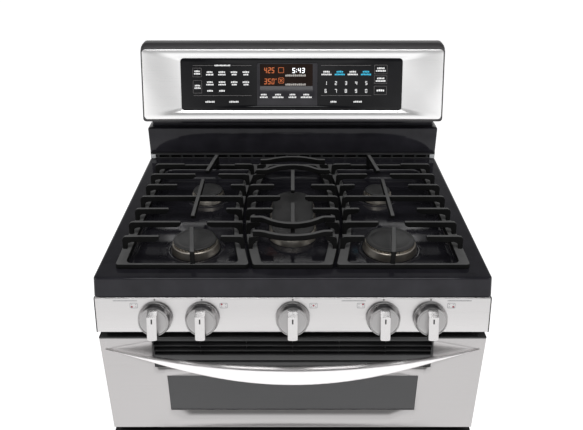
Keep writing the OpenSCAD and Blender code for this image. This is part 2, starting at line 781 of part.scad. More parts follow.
module upper_door_skin() at_door(upper_door_z) door_skin(upper_door_h);
module upper_door_vent() at_door(upper_door_z) door_vent(upper_door_h);
module upper_door_handle() at_door(upper_door_z) door_handle(upper_door_h);
module upper_door_glass() at_door(upper_door_z) door_glass(upper_door_h);
module upper_door_liner() at_door(upper_door_z) door_liner(upper_door_h);
module lower_door_skin() at_door(lower_door_z) door_skin(lower_door_h);
module lower_door_vent() at_door(lower_door_z) door_vent(lower_door_h);
module lower_door_handle() at_door(lower_door_z) door_handle(lower_door_h);
module lower_door_glass() at_door(lower_door_z) door_glass(lower_door_h);
module lower_door_liner() at_door(lower_door_z) door_liner(lower_door_h);

// ---------------------------------------------------------------- nodes

side_panel_left();
side_panel_right();
rear_panel();
chassis();
kick_plate();
levelling_legs();
upper_oven_liner();
lower_oven_liner();
upper_oven_rack();
lower_oven_rack();
oven_burners();
convection_fan();
fan_cover();
door_gaskets();
cooktop_deck();
riser();
riser_vent_trim();
control_housing();
control_fascia();
control_glass();
display_module();
knob_panel();
knob_bezels();
gas_manifold();
valve_bodies();
gas_regulator();
igniters();
round_burner(0);  // burner_front_left
round_burner(1);  // burner_front_right
round_burner(2);  // burner_rear_left
round_burner(3);  // burner_rear_right
burner_centre();
round_cap(0);  // cap_front_left
round_cap(1);  // cap_front_right
round_cap(2);  // cap_rear_left
round_cap(3);  // cap_rear_right
cap_centre();
grate_left();
grate_centre();
grate_right();
valve_rotor(0);  // valve_rotor_1
valve_rotor(1);  // valve_rotor_2
valve_rotor(2);  // valve_rotor_3
valve_rotor(3);  // valve_rotor_4
valve_rotor(4);  // valve_rotor_5
knob(0);  // knob_1
knob(1);  // knob_2
knob(2);  // knob_3
knob(3);  // knob_4
knob(4);  // knob_5
upper_door_skin();
upper_door_vent();
upper_door_handle();
upper_door_glass();
upper_door_liner();
lower_door_skin();
lower_door_vent();
lower_door_handle();
lower_door_glass();
lower_door_liner();
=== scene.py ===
"""Looks of the freestanding gas range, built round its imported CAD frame. Lengths in metres."""

import math

import bmesh
import bpy
from mathutils import Matrix, Vector


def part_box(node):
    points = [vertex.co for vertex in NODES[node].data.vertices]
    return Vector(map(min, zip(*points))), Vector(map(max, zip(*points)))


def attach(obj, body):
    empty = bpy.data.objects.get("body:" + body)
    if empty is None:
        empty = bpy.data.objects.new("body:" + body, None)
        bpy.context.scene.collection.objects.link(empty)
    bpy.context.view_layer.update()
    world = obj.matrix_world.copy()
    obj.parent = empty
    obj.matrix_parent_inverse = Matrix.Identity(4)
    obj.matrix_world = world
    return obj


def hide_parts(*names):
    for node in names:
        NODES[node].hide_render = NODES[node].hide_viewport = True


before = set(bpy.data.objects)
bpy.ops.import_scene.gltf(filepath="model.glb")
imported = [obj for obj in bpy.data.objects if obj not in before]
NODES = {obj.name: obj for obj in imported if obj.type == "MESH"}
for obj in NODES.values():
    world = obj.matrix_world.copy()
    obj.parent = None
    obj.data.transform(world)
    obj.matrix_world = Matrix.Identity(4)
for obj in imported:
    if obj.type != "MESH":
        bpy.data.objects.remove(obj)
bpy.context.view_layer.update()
MM = 0.001

# ------------------------------------------------------------------ places taken from the frame

cooktop_low, cooktop_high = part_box("cooktop_deck")
BAND_LEAN, BAND_H = 12, 35
FRONT = cooktop_low.y + BAND_LEAN * MM     # the cooktop's front edge
DECK = cooktop_high.z                      # the cooktop's rim
HALF_W = cooktop_high.x / MM
DECK_D = (cooktop_high.y - FRONT) / MM


def deck(x, y, z):
    """Point in the deck frame: mm, y back from the cooktop's front edge, z up from its rim."""
    return Vector((x * MM, FRONT + y * MM, DECK + z * MM))


def deck_frame():
    return Matrix.Translation(deck(0, 0, 0)) @ Matrix.Scale(MM, 4)


FACE_TILT = math.radians(16.85)
FACE_H = 184
FACE_FOOT = (541.7, 115)                   # lower edge of the control face, in the deck frame


def face_frame():
    """Control face: mm, +X right, +Y up the slope, +Z outwards, from the middle of its lower edge."""
    return (Matrix.Translation(deck(0, *FACE_FOOT))
            @ Matrix.Rotation(math.pi / 2 - FACE_TILT, 4, "X") @ Matrix.Scale(MM, 4))


PANEL_TILT = math.radians(11)
PANEL_H = 73.5
PANEL_TOP = (-BAND_LEAN - 0.6, -BAND_H - 2)
KNOB_DOWN = 41.5


def panel_frame(x=0.0, down=0.0):
    """Knob panel: mm, +X right, +Y up the panel, +Z outwards, from a point below its upper edge."""
    return (Matrix.Translation(deck(x, *PANEL_TOP)) @ Matrix.Rotation(math.pi / 2 - PANEL_TILT, 4, "X")
            @ Matrix.Scale(MM, 4) @ Matrix.Translation((0, -down, 0)))


def door_frame(door):
    """Door: mm, +X right, +Y into the door from its face, +Z up from its lower edge."""
    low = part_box(door + "_door_skin")[0]
    return Matrix.Translation((0, low.y, low.z)) @ Matrix.Scale(MM, 4)


def door_height(door):
    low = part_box(door + "_door_skin")[0]
    return (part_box(door + "_door_liner")[1].z - low.z) / MM


# ------------------------------------------------------------------ materials

def new_material(name):
    mat = bpy.data.materials.new(name)
    mat.use_nodes = True
    tree = mat.node_tree
    shader = next(n for n in tree.nodes if n.type == "BSDF_PRINCIPLED")
    return mat, tree, shader


def add_node(tree, kind, inputs=None, **props):
    node = tree.nodes.new(kind)
    for key, value in props.items():
        setattr(node, key, value)
    for key, value in (inputs or {}).items():
        node.inputs[key].default_value = value
    return node


def object_coords(tree, scale):
    coords = add_node(tree, "ShaderNodeTexCoord")
    mapping = add_node(tree, "ShaderNodeMapping", {"Scale": scale})
    tree.links.new(coords.outputs["Object"], mapping.inputs["Vector"])
    return mapping.outputs["Vector"]


def noise(tree, scale_xyz, detail=4.0, rough=0.5):
    node = add_node(tree, "ShaderNodeTexNoise", {"Scale": 1.0, "Detail": detail, "Roughness": rough})
    tree.links.new(object_coords(tree, scale_xyz), node.inputs["Vector"])
    return node.outputs["Fac"]


def ramp(tree, value, stops):
    node = add_node(tree, "ShaderNodeValToRGB")
    while len(node.color_ramp.elements) < len(stops):
        node.color_ramp.elements.new(0.5)
    for element, (place, colour) in zip(node.color_ramp.elements, stops):
        element.position = place
        element.color = (*colour, 1.0) if len(colour) == 3 else colour
    tree.links.new(value, node.inputs["Fac"])
    return node.outputs["Color"]


def spread(tree, value, low, high):
    """Maps a 0-1 value onto low-high."""
    node = add_node(tree, "ShaderNodeMapRange", {"To Min": low, "To Max": high})
    tree.links.new(value, node.inputs["Value"])
    return node.outputs["Result"]


def bump(tree, shader, value, strength, distance):
    node = add_node(tree, "ShaderNodeBump", {"Strength": strength, "Distance": distance})
    tree.links.new(value, node.inputs["Height"])
    tree.links.new(node.outputs["Normal"], shader.inputs["Normal"])


def shade(shader, **values):
    for key, value in values.items():
        shader.inputs[key.replace("_", " ")].default_value = value


def grey(level, warm=0.0, cool=0.0):
    return (level * (1 + warm), level, level * (1 - warm + cool), 1.0)


def brushed_steel(name, level=0.74, along=(4, 900, 900), rough=(0.24, 0.34), warm=0.02):
    """Steel with fine scratches along one axis and a faint cloudiness."""
    mat, tree, shader = new_material(name)
    grain = noise(tree, along, detail=6, rough=0.65)
    cloud = noise(tree, (3, 3, 3), detail=2)
    tree.links.new(spread(tree, grain, *rough), shader.inputs["Roughness"])
    dark, light = level * 0.93, level * 1.05
    mix = add_node(tree, "ShaderNodeMath", {1: 0.35}, operation="MULTIPLY_ADD")
    tree.links.new(grain, mix.inputs[0])
    tree.links.new(spread(tree, cloud, 0.15, 0.5), mix.inputs[2])
    colour = ramp(tree, mix.outputs[0],
                  [(0.2, grey(dark, warm, warm)[:3]), (0.8, grey(light, warm, warm)[:3])])
    tree.links.new(colour, shader.inputs["Base Color"])
    shade(shader, Metallic=1.0, Anisotropic=0.35)
    bump(tree, shader, grain, 0.06, 0.0004)
    return mat


def enamel(name, colour, rough=0.09, specks=None, ripple=0.035, shine=0.4):
    """Glossy fired enamel: slight ripple, dust-fine gloss changes, optional light specks."""
    mat, tree, shader = new_material(name)
    wave = noise(tree, (22, 22, 22), detail=2)
    fine = noise(tree, (350, 350, 350), detail=3)
    tree.links.new(spread(tree, fine, rough * 0.7, rough * 1.5), shader.inputs["Roughness"])
    light = tuple(min(1.0, c * 1.5 + 0.002) for c in colour)
    base = ramp(tree, wave, [(0.3, colour), (0.75, light)])
    if specks:
        cells = add_node(tree, "ShaderNodeTexVoronoi", {"Scale": 420.0, "Randomness": 1.0})
        coords = add_node(tree, "ShaderNodeTexCoord")
        tree.links.new(coords.outputs["Object"], cells.inputs["Vector"])
        dots = ramp(tree, cells.outputs["Distance"],
                    [(0.0, (1, 1, 1)), (0.17, (1, 1, 1)), (0.22, (0, 0, 0))])
        mix = add_node(tree, "ShaderNodeMix", data_type="RGBA")
        tree.links.new(dots, mix.inputs["Factor"])
        tree.links.new(base, mix.inputs["A"])
        mix.inputs["B"].default_value = (*specks, 1)
        base = mix.outputs["Result"]
    tree.links.new(base, shader.inputs["Base Color"])
    shade(shader, Specular_IOR_Level=shine, Coat_Weight=shine * 0.3, Coat_Roughness=0.04)
    bump(tree, shader, wave, ripple, 0.002)
    return mat


def cast_iron(name, dark=0.022, light=0.062, rough=(0.42, 0.62), painted_top_light=None, shine=0.5):
    """Sand-cast iron under matte enamel, grained and patchy; an optional top-light level paints the faces
    that look up lighter, a painted highlight for the light from above.
    """
    mat, tree, shader = new_material(name)
    grain = noise(tree, (900, 900, 900), detail=5, rough=0.7)
    patch = noise(tree, (38, 38, 38), detail=3)
    mix = add_node(tree, "ShaderNodeMath", operation="MULTIPLY_ADD")
    mix.inputs[1].default_value = 0.45
    tree.links.new(grain, mix.inputs[0])
    tree.links.new(spread(tree, patch, 0.05, 0.55), mix.inputs[2])
    colour = ramp(tree, mix.outputs[0], [(0.25, grey(dark)[:3]), (0.8, grey(light)[:3])])
    # Painted highlight: faces whose normal points up blend to a lighter iron, standing in for the overhead
    # light on the grate tops.
    if painted_top_light:
        facing = add_node(tree, "ShaderNodeSeparateXYZ")
        tree.links.new(add_node(tree, "ShaderNodeTexCoord").outputs["Normal"], facing.inputs[0])
        blend = add_node(tree, "ShaderNodeMix", data_type="RGBA")
        up = ramp(tree, facing.outputs["Z"], [(0.7, (0, 0, 0)), (0.95, (1, 1, 1))])
        tree.links.new(up, blend.inputs["Factor"])
        tree.links.new(colour, blend.inputs["A"])
        painted_top = ramp(tree, mix.outputs[0], [(0.25, grey(painted_top_light * 0.8)[:3]), (0.8, grey(painted_top_light * 1.25)[:3])])
        tree.links.new(painted_top, blend.inputs["B"])
        colour = blend.outputs["Result"]
    tree.links.new(colour, shader.inputs["Base Color"])
    tree.links.new(spread(tree, patch, *rough), shader.inputs["Roughness"])
    shade(shader, Specular_IOR_Level=shine)
    bump(tree, shader, grain, 0.25, 0.0006)
    return mat


def moulded(name, colour, rough=0.42, grain=0.12):
    """Moulded or painted surface with a fine grain."""
    mat, tree, shader = new_material(name)
    fine = noise(tree, (700, 700, 700), detail=3)
    broad = noise(tree, (12, 12, 12), detail=2)
    light = tuple(min(1.0, c * 1.25 + 0.003) for c in colour)
    tree.links.new(ramp(tree, broad, [(0.3, colour), (0.75, light)]), shader.inputs["Base Color"])
    tree.links.new(spread(tree, fine, rough * 0.85, rough * 1.15), shader.inputs["Roughness"])
    bump(tree, shader, fine, grain, 0.0004)
    return mat


def metal(name, colour, rough=(0.3, 0.45), strength=0.1, tint=None):
    """Plain metal with a directionless grain and an optional heat tint."""
    mat, tree, shader = new_material(name)
    grain = noise(tree, (500, 500, 500), detail=4, rough=0.6)
    cloud = noise(tree, (30, 30, 30), detail=3)
    other = tint or tuple(c * 0.8 for c in colour)
    tree.links.new(ramp(tree, cloud, [(0.3, colour), (0.75, other)]), shader.inputs["Base Color"])
    tree.links.new(spread(tree, grain, *rough), shader.inputs["Roughness"])
    shade(shader, Metallic=1.0)
    bump(tree, shader, grain, strength, 0.0004)
    return mat


def tinted_glass(name, colour, alpha):
    rough = 0.04
    mat, tree, shader = new_material(name)
    smear = noise(tree, (9, 9, 9), detail=4)
    tree.links.new(spread(tree, smear, rough * 0.6, rough * 1.8), shader.inputs["Roughness"])
    tree.links.new(ramp(tree, smear, [(0.3, colour), (0.8, tuple(c * 1.4 for c in colour))]),
                   shader.inputs["Base Color"])
    shade(shader, Alpha=alpha, Coat_Weight=0.5, Coat_Roughness=0.03)
    return mat


def lit(name, colour, strength):
    """Emissive marks: display segments glow as a display does, and printed legends made with it carry a
    painted glow.
    """
    mat, tree, shader = new_material(name)
    soft = noise(tree, (60, 60, 60), detail=1)
    shade_colour = ramp(tree, soft, [(0.2, colour), (0.9, tuple(min(1, c * 1.05) for c in colour))])
    tree.links.new(shade_colour, shader.inputs["Base Color"])
    tree.links.new(shade_colour, shader.inputs["Emission Color"])
    shade(shader, Emission_Strength=strength, Roughness=0.4)
    return mat


STEEL = brushed_steel("steel_brushed", level=0.6)
# The same brushed stainless at different levels: the door is a darker copy (painted shade), and the control
# face and handle are lighter copies (painted light), for how each part catches the light.
STEEL_DOOR_SHADED = brushed_steel("steel_door_shaded", level=0.43, warm=0.03)
STEEL_FACE_LIT = brushed_steel("steel_face_lit", level=0.88, warm=0.005)
STEEL_HANDLE_LIT = brushed_steel("steel_handle_lit", level=0.86, rough=(0.26, 0.36))
# The knob's one steel finish in three tones: the bar is a lighter copy (painted highlight), and the skirt and
# disc are darker copies (painted shade).
KNOB_SKIRT_SHADED = brushed_steel("knob_skirt", level=0.42, along=(60, 60, 900), rough=(0.2, 0.3))
KNOB_DISC_SHADED = brushed_steel("knob_disc", level=0.37, along=(700, 30, 700), rough=(0.26, 0.36))
KNOB_BAR_LIT = brushed_steel("knob_bar", level=0.64, along=(160, 12, 160), rough=(0.24, 0.28))
STEEL_DARK = brushed_steel("steel_sheet", level=0.5, along=(60, 60, 60), rough=(0.3, 0.5), warm=0.0)
ENAMEL = enamel("enamel_black", (0.014, 0.0135, 0.017), shine=0.2)
ENAMEL_BAND = enamel("enamel_band", (0.0085, 0.0083, 0.0086), rough=0.22)
OVEN = enamel("enamel_oven", (0.018, 0.02, 0.032), rough=0.22, specks=(0.35, 0.37, 0.42))
IRON = cast_iron("iron_cast", dark=0.003, light=0.009, rough=(0.6, 0.8), painted_top_light=0.11, shine=0.08)
CAP = cast_iron("enamel_cap", dark=0.03, light=0.05, rough=(0.38, 0.5))
PAINT = moulded("paint_body", (0.03, 0.03, 0.032), rough=0.38)
PLASTIC = moulded("plastic_black", (0.02, 0.02, 0.021), rough=0.4)
PLASTIC_GREY = moulded("plastic_cap", (0.034, 0.032, 0.034), rough=0.45)
GLASS_BLACK = enamel("glass_black", (0.003, 0.003, 0.004), rough=0.05, ripple=0.0, shine=0.2)
DISPLAY = enamel("display_window", (0.022, 0.021, 0.025), rough=0.2, ripple=0.0, shine=0.25)
LCD = enamel("display_field", (0.012, 0.006, 0.004), rough=0.15, ripple=0.0, shine=0.1)
DOOR_GLASS = tinted_glass("glass_door", (0.012, 0.012, 0.014), 0.9)
ALUMINIUM = metal("aluminium_cast", (0.66, 0.62, 0.56), tint=(0.5, 0.45, 0.38))
BRASS = metal("brass_turned", (0.72, 0.56, 0.3))
ZINC = metal("zinc_plate", (0.5, 0.5, 0.52))
WIRE = metal("wire_bright", (0.7, 0.7, 0.72), rough=(0.12, 0.25), strength=0.03)
RUBBER = moulded("rubber_cord", (0.03, 0.03, 0.032), rough=0.75, grain=0.3)
CERAMIC = moulded("ceramic_white", (0.75, 0.73, 0.68), rough=0.25, grain=0.03)
TRIM_GREY = moulded("trim_grey", (0.42, 0.43, 0.44), rough=0.35)
# Printed legend inks with a painted glow: plain ink given emission.
WHITE_INK_GLOW = lit("ink_white_painted_glow", (0.75, 0.75, 0.75), 0.25)
BLUE_INK_GLOW = lit("ink_blue_painted_glow", (0.03, 0.42, 0.62), 0.35)
AMBER = lit("segment_amber", (0.5, 0.12, 0.03), 0.3)
PALE_SEGMENT = lit("segment_pale", (0.9, 0.92, 0.95), 1.0)
DIM_SEGMENT = lit("segment_dim", (0.35, 0.33, 0.31), 0.3)
GREY_INK = moulded("ink_grey", (0.16, 0.15, 0.15), rough=0.5)
GREY_INK_LIGHT = moulded("ink_grey_light", (0.25, 0.25, 0.26), rough=0.5)
RED_INK = moulded("ink_red", (0.24, 0.012, 0.03), rough=0.5)
DARK_INK = moulded("ink_dark", (0.02, 0.02, 0.02), rough=0.5)


# ------------------------------------------------------------------ mesh building

def arc(cx, cy, r, a0, a1, n):
    """Points of an arc, angles in degrees."""
    return [(cx + r * math.cos(math.radians(a0 + (a1 - a0) * i / n)),
             cy + r * math.sin(math.radians(a0 + (a1 - a0) * i / n))) for i in range(n + 1)]


def round_rect(x0, x1, y0, y1, r, n=6):
    """Closed outline of a rectangle with round corners, from the lower right corner."""
    r = max(r, 0.01)
    return (arc(x1 - r, y0 + r, r, -90, 0, n) + arc(x1 - r, y1 - r, r, 0, 90, n)
            + arc(x0 + r, y1 - r, r, 90, 180, n) + arc(x0 + r, y0 + r, r, 180, 270, n))


class Shape:
    """Collects solids in mm, then makes one piece of them in the row frame."""

    def __init__(self):
        self.verts = []
        self.faces = []
        self.slots = []

    def add(self, verts, faces, slot=0):
        base = len(self.verts)
        self.verts += [Vector(v) for v in verts]
        self.faces += [tuple(base + i for i in f) for f in faces]
        self.slots += [slot] * len(faces)

    def loft(self, loops, slot=0, caps=True, ring=False):
        """Skins closed loops of equal length; ring joins the last loop to the first."""
        n = len(loops[0])
        verts = [v for loop in loops for v in loop]
        faces = []
        rows = len(loops) if ring else len(loops) - 1
        for i in range(rows):
            a, b = i * n, ((i + 1) % len(loops)) * n
            faces += [(a + k, a + (k + 1) % n, b + (k + 1) % n, b + k) for k in range(n)]
        if caps and not ring:
            faces.append(tuple(reversed(range(n))))
            faces.append(tuple(range((len(loops) - 1) * n, len(loops) * n)))
        self.add(verts, faces, slot)

    def prism(self, outline, place, d0, d1, slot=0):
        """Extrudes a 2D outline from d0 to d1; place(a, b, d) gives the 3D point."""
        self.loft([[place(a, b, d) for a, b in outline] for d in (d0, d1)], slot)

    def plate(self, outline, z0, z1, slot=0):
        self.prism(outline, lambda a, b, d: (a, b, d), z0, z1, slot)

    def box(self, low, high, slot=0):
        x0, y0, z0 = low
        x1, y1, z1 = high
        self.plate([(x0, y0), (x1, y0), (x1, y1), (x0, y1)], z0, z1, slot)

    def lathe(self, profile, segments=64, centre=(0, 0), slot=0):
        """Turns (r, z) points about a vertical axis; the ends are closed."""
        loops = []
        for r, z in profile:
            r = max(r, 0.01)
            loops.append([(centre[0] + r * math.cos(t), centre[1] + r * math.sin(t), z)
                          for t in (2 * math.pi * k / segments for k in range(segments))])
        self.loft(loops, slot)

    def sweep(self, path, section, side, slot=0):
        """Carries a section (across, up) along a path; side is the across direction's reference."""
        side = Vector(side)
        path = [Vector(p) for p in path]
        loops = []
        for i, p in enumerate(path):
            before = path[max(i - 1, 0)]
            after = path[min(i + 1, len(path) - 1)]
            tangent = (after - before).normalized()
            up = side.cross(tangent).normalized()
            across = tangent.cross(up).normalized()
            loops.append([p + across * a + up * b for a, b in section])
        self.loft(loops, slot)

    def tube(self, path, radius, sides=12, slot=0):
        """Round tube along a path, with frames carried from point to point."""
        path = [Vector(p) for p in path]
        normal = Vector((0, 0, 1))
        loops = []
        for i, p in enumerate(path):
            tangent = (path[min(i + 1, len(path) - 1)] - path[max(i - 1, 0)]).normalized()
            if abs(tangent.dot(normal)) > 0.95:
                normal = Vector((0, 1, 0))
            normal = (normal - tangent * normal.dot(tangent)).normalized()
            other = tangent.cross(normal)
            loops.append([p + (normal * math.cos(t) + other * math.sin(t)) * radius
                          for t in (2 * math.pi * k / sides for k in range(sides))])
        self.loft(loops, slot)

    def mirrored_x(self):
        """Adds the mirror image of everything so far."""
        n = len(self.verts)
        self.verts += [Vector((-v.x, v.y, v.z)) for v in self.verts[:n]]
        self.faces += [tuple(n + i for i in reversed(f)) for f in list(self.faces)]
        self.slots += list(self.slots)
        return self

    def piece(self, name, body, materials, matrix=None, bevel=0.0, segments=2, crease=32,
              replaces=(), sheet=0.0):
        """Makes one object of the solids; sheet is the thickness of an open skin, in mm."""
        mesh = bpy.data.meshes.new(name)
        matrix = matrix or deck_frame()
        mesh.from_pydata([matrix @ v for v in self.verts], [], self.faces)
        for material in materials:
            mesh.materials.append(material)
        mesh.polygons.foreach_set("material_index", self.slots)
        if not sheet:
            work = bmesh.new()
            work.from_mesh(mesh)
            bmesh.ops.recalc_face_normals(work, faces=work.faces)
            work.to_mesh(mesh)
            work.free()
        mesh.polygons.foreach_set("use_smooth", [True] * len(mesh.polygons))
        mesh.set_sharp_from_angle(angle=math.radians(crease))
        obj = bpy.data.objects.new(name, mesh)
        bpy.context.scene.collection.objects.link(obj)
        if sheet:
            mod = obj.modifiers.new("thickness", "SOLIDIFY")
            mod.thickness = sheet * MM
            mod.offset = -1
        if bevel:
            mod = obj.modifiers.new("edges", "BEVEL")
            mod.width = bevel * MM
            mod.segments = segments
            mod.limit_method = "ANGLE"
            mod.angle_limit = math.radians(32)
            mod.harden_normals = True
        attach(obj, body)
        if replaces:
            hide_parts(*replaces)
        return obj


ROOT = "range_body"


# ------------------------------------------------------------------ cooktop

WELL = dict(x=334, y0=39, y1=505, drop=28)


def cooktop():
    """One pressed sheet: band, rim, rounded well, and its underside 2 mm below."""
    s = Shape()
    sheet = 2.0

    def loop(inset, z, front, r):
        outline = round_rect(-HALF_W + inset, HALF_W - inset, front, DECK_D - inset, r, 8)
        return [(x, y, z) for x, y in outline]

    def well(out, z, r):
        outline = round_rect(-WELL["x"] - out, WELL["x"] + out, WELL["y0"] - out, WELL["y1"] + out, r, 8)
        return [(x, y, z) for x, y in outline]

    floor_z = -WELL["drop"]
    outer = [loop(0, -BAND_H, -BAND_LEAN, 9), loop(0, -BAND_H * 0.55, -BAND_LEAN * 0.58, 9),
             loop(0, -4.5, -1.9, 9)]
    for a in (15, 35, 55, 75, 90):
        c, d = math.cos(math.radians(a)), math.sin(math.radians(a))
        outer.append(loop(4.5 * (1 - c), -4.5 * (1 - d), -1.9 + 6.4 * (1 - c), 9))
    bead = [loop(9, 0, 9, 9)]
    rim = [well(12, 0, 36), well(8, 0, 32)]
    for a in (20, 40, 60, 80):
        t = math.radians(a)
        rim.append(well(8 - 8 * math.sin(t), -8 + 8 * math.cos(t), 30))
    wall = [well(0, -9, 24), well(-0.5, -16, 24)]
    for a in (20, 40, 60, 80):
        t = math.radians(a)
        wall.append(well(-0.5 - 11 * (1 - math.cos(t)), -17 - 11 * math.sin(t), 22))
    top = outer + bead + rim + wall + [well(-14, floor_z, 20), well(-60, floor_z, 20)]
    under = [loop(sheet, -BAND_H, -BAND_LEAN + sheet, 8), loop(sheet, -4, 1, 8), loop(6, -sheet, 6, 8),
             well(10, -sheet, 36), well(2, -9, 24), well(2, floor_z - sheet, 20),
             well(-60, floor_z - sheet, 20)]
    s.loft(list(reversed(under)) + top)
    s.piece("cooktop_top", ROOT, [ENAMEL], crease=50, replaces=["cooktop_deck"])


cooktop()


# ------------------------------------------------------------------ grates

GRATE = dict(y0=30, y1=514, outer=343, top=38, pitch=59.6, gap=3, mid_x=106.5, end_x=80.5)
GRATE_MID = (GRATE["y0"] + GRATE["y1"]) / 2
SEAM_HALF = (GRATE["y1"] - GRATE["y0"]) / 2
SEAM_RISE = GRATE["mid_x"] - GRATE["end_x"]
SEAM_R = (SEAM_HALF ** 2 + SEAM_RISE ** 2) / (2 * SEAM_RISE)
BURNER_X = 205
STRUT_X = 207
STRUT_TURN = math.radians(8)              # struts run in towards the middle
MID_BAR_X = 211
RING_TOP = 10.3
BAR = 8
BAR_H = 12


def seam_x(y):
    """Distance of the seam between two grates from the middle."""
    return GRATE["mid_x"] - SEAM_R + math.sqrt(SEAM_R ** 2 - (y - GRATE_MID) ** 2)


def row_y(i):
    return GRATE_MID + (i - 3) * GRATE["pitch"]


def side_outline(side_in, end_in, r):
    """Outline of the right-hand grate seen from above, moved in from its sides and ends."""
    y0, y1 = GRATE["y0"] + end_in, GRATE["y1"] - end_in
    x1 = GRATE["outer"] - side_in
    pts = arc(x1 - r, y0 + r, r, -90, 0, 6) + arc(x1 - r, y1 - r, r, 0, 90, 6)
    n = 18
    off = GRATE["gap"] + side_in
    x_of = lambda y: seam_x(y) + off
    pts += arc(x_of(y1 - r) + r, y1 - r, r, 90, 180, 6)
    run = [y1 - r + (y0 + 2 * r - y1) * k / n for k in range(1, n)]
    pts += [(x_of(y), y) for y in run]
    pts += arc(x_of(y0 + r) + r, y0 + r, r, 180, 270, 6)
    return pts


def centre_outline(side_in, end_in, r):
    y0, y1 = GRATE["y0"] + end_in, GRATE["y1"] - end_in
    n = 18
    off = GRATE["gap"] + side_in
    x_of = lambda y: seam_x(y) - off
    right = arc(x_of(y0 + r) - r, y0 + r, r, -90, 0, 6)
    run = [y0 + r + (y1 - y0 - 2 * r) * k / n for k in range(1, n)]
    right += [(x_of(y), y) for y in run]
    right += arc(x_of(y1 - r) - r, y1 - r, r, 0, 90, 6)
    return right + [(-x, y) for x, y in reversed(right)]


def ring(s, outline):
    """Flat ring of a grate, with softened edges and a slight fall to the inside."""
    def at(side_in, end_in, z, r):
        return [(x, y, z) for x, y in outline(side_in, end_in, r)]
    s.loft([at(0.0, 0.0, 0.6, 7), at(0, 0, RING_TOP - 2.2, 7), at(0.7, 0.7, RING_TOP - 0.7, 7),
            at(2.2, 2.2, RING_TOP, 7), at(18, 6.4, RING_TOP - 0.6, 12), at(19.4, 7.4, RING_TOP - 1.4, 12),
            at(20, 8, RING_TOP - 3, 12), at(20, 8, 0.6, 12)], ring=True)


def finger(s, x_leg, x_tip, y):
    """Finger from a leg on the ring to a blunt tip; drawn in (x, z) and extruded along Y."""
    d = 1 if x_tip > x_leg else -1
    top = GRATE["top"]
    rise = 9
    leg = [(0, 3), (0.8, top - rise - 6)]
    leg += [(0.8 + rise * (1 - math.cos(t)), top - rise + (rise - 0.2) * math.sin(t))
            for t in map(math.radians, (0, 22, 45, 68, 90))]
    length = abs(x_tip - x_leg)
    tip = [(length - 3, top), (length - 0.8, top - 1), (length, top - 3.5), (length - 1.5, top - 8),
           (length - 9, top - BAR_H)]
    under = [(20, top - BAR_H - 0.5), (13, top - BAR_H - 3), (9.5, top - BAR_H - 8), (8.5, 3)]
    outline = [(x_leg + d * a, z) for a, z in leg + tip + under]
    half = BAR / 2
    taper = 0.85
    s.prism(outline, lambda a, b, t: (a, y + t * (half - taper * 0.5 * (b > top - 6)), b), -1, 1)


def bar_x(s, x0, x1, y):
    """Full-width bar with a leg at each end."""
    mid = (x0 + x1) / 2
    finger(s, x0, mid + 6, y)
    finger(s, x1, mid - 6, y)


def strut(s, x, y_tip, flip=False):
    """Bar along Y at the finger tops that turns down onto the end of the ring."""
    top = GRATE["top"]
    y0 = GRATE["y0"]
    outline = [(y0 + 1.2, 2), (y0 + 1.2, top - 4), (y0 + 2, top - 1.6), (y0 + 4, top - 0.3), (y0 + 7, top),
               (y_tip - 3, top), (y_tip - 0.8, top - 1), (y_tip, top - 3.5), (y_tip - 1.5, top - 8),
               (y_tip - 9, top - BAR_H), (y0 + 13, top - BAR_H), (y0 + 9.4, top - BAR_H - 2.5), (y0 + 8, 2)]

    def place(a, b, t):
        px, py = t * 4.5, a - y_tip
        xx = x + px * math.cos(STRUT_TURN) + py * math.sin(STRUT_TURN)
        yy = y_tip + py * math.cos(STRUT_TURN) - px * math.sin(STRUT_TURN)
        return (xx, 2 * GRATE_MID - yy if flip else yy, b)
    s.prism(outline, place, -1, 1)


def side_grate(name, side):
    s = Shape()
    ring(s, side_outline)
    for i in range(7):
        y = row_y(i)
        inner = seam_x(y) + GRATE["gap"]
        if i == 3:
            bar_x(s, inner, GRATE["outer"] - 2, y)
            continue
        reach = 26.5 if abs(i - 3) == 2 else 61
        finger(s, inner, BURNER_X - reach, y)
        finger(s, GRATE["outer"] - 2, BURNER_X + reach, y)
    strut(s, STRUT_X, row_y(1) - 20)
    strut(s, STRUT_X, row_y(1) - 20, flip=True)
    top = GRATE["top"]
    y0, y1 = row_y(1) + 26, row_y(5) - 26
    middle = [(y0, top - 3.5), (y0 + 0.8, top - 1), (y0 + 3, top), (y1 - 3, top), (y1 - 0.8, top - 1),
              (y1, top - 3.5), (y1 - 1.5, top - 8), (y1 - 9, top - BAR_H), (y0 + 9, top - BAR_H),
              (y0 + 1.5, top - 8)]
    s.prism(middle, lambda a, b, t: (MID_BAR_X + t * 4.0, a, b), -1, 1)
    if side < 0:
        s.verts = [Vector((-v.x, v.y, v.z)) for v in s.verts]
    s.piece("grate_%s_cast" % name, "grate_" + name, [IRON], bevel=1.6, segments=2,
            replaces=["grate_" + name])


def bowed_bar(s, i, rise, flip):
    """Cross bar of the centre grate, bowed towards the nearer end."""
    y = row_y(i)
    end = seam_x(y) - GRATE["gap"]
    half = 60
    r = (half ** 2 + rise ** 2) / (2 * rise)
    n = 20
    blend = 10
    curve = [(x, y - (math.sqrt(r * r - x * x) - (r - rise)))
             for x in (-half + 2 * half * k / n for k in range(1, n))]
    path = [(-end + 10, y), (-half - blend, y), (-half - 3, y - 0.4), *curve,
            (half + 3, y - 0.4), (half + blend, y), (end - 10, y)]
    if flip:
        path = [(x, 2 * GRATE_MID - yy) for x, yy in path]
        y = 2 * GRATE_MID - y
    top = GRATE["top"]
    w = BAR / 2
    section = [(-w, -BAR_H), (w, -BAR_H), (w, -2), (w - 0.5, 0), (-w + 0.5, 0), (-w, -2)]
    s.sweep([(x, yy, top) for x, yy in path], section, side=(0, 1, 0))
    finger(s, -end, -half - 6, y)
    finger(s, end, half + 6, y)


